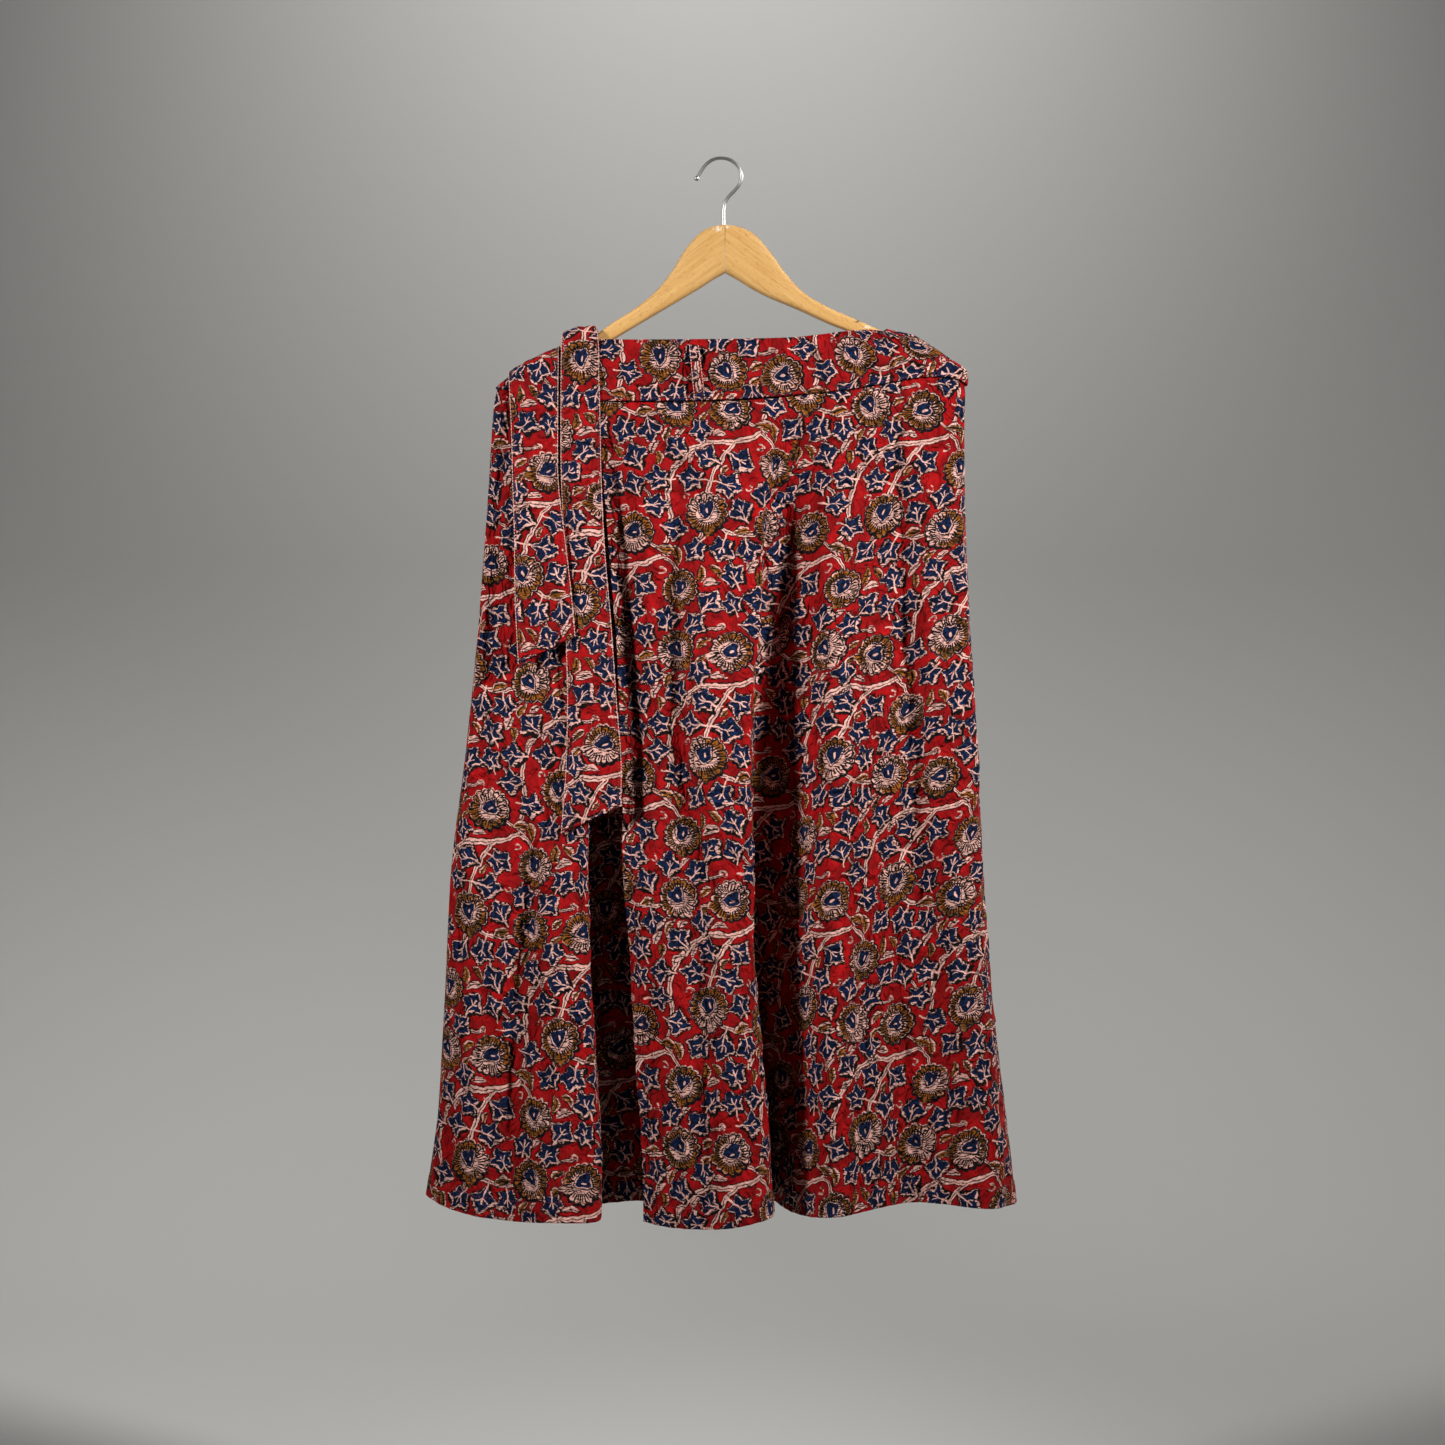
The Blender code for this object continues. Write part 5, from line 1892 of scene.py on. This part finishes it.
@dataclass(frozen=True)
class Board:
    """One half of the hanger: a flat, rounded board from its tip to the glued joint."""

    name: str
    node: str
    wood: VarnishedBeech
    first: int
    last: int
    half_joint: float = 6.0
    half_tip: float = 4.6
    corners: int = 48
    squareness: float = 4.0
    seam_gap: float = 0.3
    steps: int = 7

    def build(self) -> bpy.types.Object:
        """Loft rounded oblongs, each a superellipse, between smooth upper and lower edges."""
        places = np.linspace(self.first, self.last, (self.last - self.first) * self.steps + 1)
        top = smooth_through([(row.x, 0.0, row.top) for row in BOARD], places)
        foot = [(row.x, 0.0, row.foot) for row in BOARD[self.first:self.last + 1]]
        foot = smooth_through(foot, places - self.first)
        joint_x, gap = BOARD[JOINT].x, self.seam_gap / 2
        for edge in (top, foot):
            if self.last == JOINT:
                edge[:, 0] = np.minimum(edge[:, 0], joint_x - gap)
            else:
                edge[:, 0] = np.maximum(edge[:, 0], joint_x + gap)
        turns = np.linspace(0, 2 * math.pi, self.corners, endpoint=False)
        side, rise = (
            np.sign(wave) * np.abs(wave) ** (2 / self.squareness)
            for wave in (np.cos(turns), np.sin(turns))
        )
        share = np.abs(places - JOINT) / (self.last - self.first)
        reach = (top - foot) / 2
        thick = self.half_joint + (self.half_tip - self.half_joint) * share
        thick = np.minimum(thick, np.linalg.norm(reach, axis=-1))
        rings = (top + foot)[:, None] / 2 + reach[:, None] * rise[:, None]
        rings[..., 1] += thick[:, None] * side
        made = add_object(self.name, tube_mesh(self.name, rings))
        made.data.materials.append(self.wood.material())
        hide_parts(self.node)
        return made


@dataclass(frozen=True)
class Hook:
    """The hook: round wire with a ball at its tip, screwed into the crown of the hanger."""

    name: str = "wire_hook"
    node: str = "hook"
    wire: DrawnSteel = DrawnSteel()
    radius: float = 1.6
    ball: float = 2.3
    sides: int = 24
    pitch: float = 1.2

    def build(self) -> bpy.types.Object:
        """Sweep a circle along the route, and swell it to most of a ball at the tip."""
        fine = np.linspace(0, len(HOOK_ROUTE) - 1, 1200)
        line = smooth_through([(x, 0.0, z) for x, z in HOOK_ROUTE], fine)
        length = run_length(line)
        marks = np.concatenate([
            [0.02, 0.15], np.arange(0.4, 4.8, 0.4), np.arange(5.0, length[-1], self.pitch),
        ])
        centre, ahead, behind = (read_at(line, length, marks + off) for off in (0, 0.4, -0.4))
        along = unit(ahead - behind)
        out = np.stack([-along[:, 2], 0 * marks, along[:, 0]], axis=-1)
        globe = np.sqrt(np.maximum(self.ball ** 2 - (marks - self.ball) ** 2, 0))
        radii = np.where(marks < self.ball, globe, np.maximum(globe, self.radius))
        turns = np.linspace(0, 2 * math.pi, self.sides, endpoint=False)
        rings = centre[:, None] + (radii[:, None] * np.cos(turns))[..., None] * out[:, None]
        rings[..., 1] -= radii[:, None] * np.sin(turns)
        made = add_object(self.name, tube_mesh(self.name, rings))
        made.data.materials.append(self.wire.material())
        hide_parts(self.node)
        return made


@dataclass(frozen=True)
class Hanger:
    """The wooden hanger in its two glued halves, and its wire hook."""

    parts: tuple[Board | Hook, ...] = (
        Board(
            "board_left", "hanger_left",
            VarnishedBeech(
                "beech, left half", lean=-36.0, scuffs=((-3.0, -66.0, 7.0, "ece2d0"),),
            ),
            first=0, last=JOINT,
        ),
        Board(
            "board_right", "hanger_right",
            VarnishedBeech("beech, right half", lean=36.0, scuffs=(
                (129.0, -153.5, 6.0, "4a3826"), (137.0, -158.5, 5.0, "ece2d0"),
                (6.0, -64.5, 4.0, "ece2d0"),
            )),
            first=JOINT, last=len(BOARD) - 1,
        ),
        Hook(),
    )

    def build(self) -> None:
        """Build both halves and the hook."""
        for part in self.parts:
            report(part.build())


class Lamp(NamedTuple):
    """A soft round lamp: where it is, its size, power, spread in degrees, and its aim."""

    name: str
    place: tuple[float, float, float]
    size: float
    power: float
    spread: float
    aim: tuple[float, float, float] = (0.0, 0.0, -0.42)


@dataclass(frozen=True)
class Studio:
    """A plain pale studio: floor and cove, soft lights and the camera.

    The two front lamps stand well to the sides, so that deep folds stay dark.
    """

    floor_z: float = -1.42
    front_y: float = -12.0
    cove_y: float = 2.6
    cove_radius: float = 1.2
    cove_top: float = 9.0
    cove_steps: int = 17
    half_width: float = 12.0
    camera_at: tuple[float, float, float] = (0.0014, -2.4, -0.5316)
    half_frame: float = 0.68275
    pale: str = "d9d8d4"
    surround: str = "e9ebee"
    surround_strength: float = 0.014
    lamps: tuple[Lamp, ...] = (
        Lamp("right", (2.4, -1.6, 0.9), 0.45, 6.8, 40.0),
        Lamp("left", (-2.5, -1.7, 0.5), 0.5, 5.0, 40.0),
        Lamp("wall", (0.0, 1.2, 2.6), 1.2, 22.0, 100.0, (0.0, 2.6, -0.6)),
        Lamp("back", (1.6, 2.2, 0.5), 0.8, 5.0, 60.0),
    )

    def build(self) -> None:
        """Make the floor, the lights, the world and the camera."""
        self._cove()
        self._lights()
        self._camera()

    def _cove(self) -> None:
        """Make a floor that turns up into a wall by a quarter circle."""
        turns = np.linspace(0, math.pi / 2, self.cove_steps)
        radius = self.cove_radius
        curve = np.stack([
            self.cove_y - radius + radius * np.sin(turns),
            self.floor_z + radius * (1 - np.cos(turns)),
        ], axis=-1)
        line = np.vstack([(self.front_y, self.floor_z), curve, (self.cove_y, self.cove_top)])
        points = [(side, *point) for side in (-self.half_width, self.half_width) for point in line]
        mesh = bpy.data.meshes.new("studio_floor")
        mesh.from_pydata(points, [], grid_faces(2, len(line))[:, ::-1].tolist())
        mesh.shade_smooth()
        made = bpy.data.objects.new("studio_floor", mesh)
        bpy.context.scene.collection.objects.link(made)
        look = {"Base Color": linear(self.pale), "Roughness": 0.9}
        mesh.materials.append(new_material("matt studio paper", look)[0])

    def _lights(self) -> None:
        """Set the lamps, and a dim surround."""
        for lamp in self.lamps:
            light = bpy.data.lights.new(lamp.name, "AREA")
            light.shape, light.size, light.energy = "DISK", lamp.size, lamp.power
            light.spread = math.radians(lamp.spread)
            made = bpy.data.objects.new(lamp.name, light)
            made.location = lamp.place
            way = Vector(lamp.aim) - Vector(lamp.place)
            made.rotation_euler = way.to_track_quat("-Z", "Y").to_euler()
            made.visible_camera = False
            bpy.context.scene.collection.objects.link(made)
        world = bpy.data.worlds.new("studio surround")
        world.use_nodes = True
        colour, strength = world.node_tree.nodes["Background"].inputs[:2]
        colour.default_value = linear(self.surround)
        strength.default_value = self.surround_strength
        bpy.context.scene.world = world
        bpy.context.scene.view_settings.view_transform = "Standard"

    def _camera(self) -> None:
        """Set the camera level in front of the skirt, as far off as it was photographed."""
        lens = bpy.data.cameras.new("camera")
        lens.lens_unit = "FOV"
        lens.angle = 2 * math.atan(self.half_frame / -self.camera_at[1])
        made = bpy.data.objects.new("camera", lens)
        made.location = self.camera_at
        made.rotation_euler = (math.pi / 2, 0.0, 0.0)
        bpy.context.scene.collection.objects.link(made)
        bpy.context.scene.camera = made


def main() -> None:
    """Build the studio, the skirt and the hanger in order."""
    logging.basicConfig(level=logging.INFO, format="%(message)s")
    Studio().build()
    Skirt().build()
    Hanger().build()


if __name__ == "__main__":
    main()
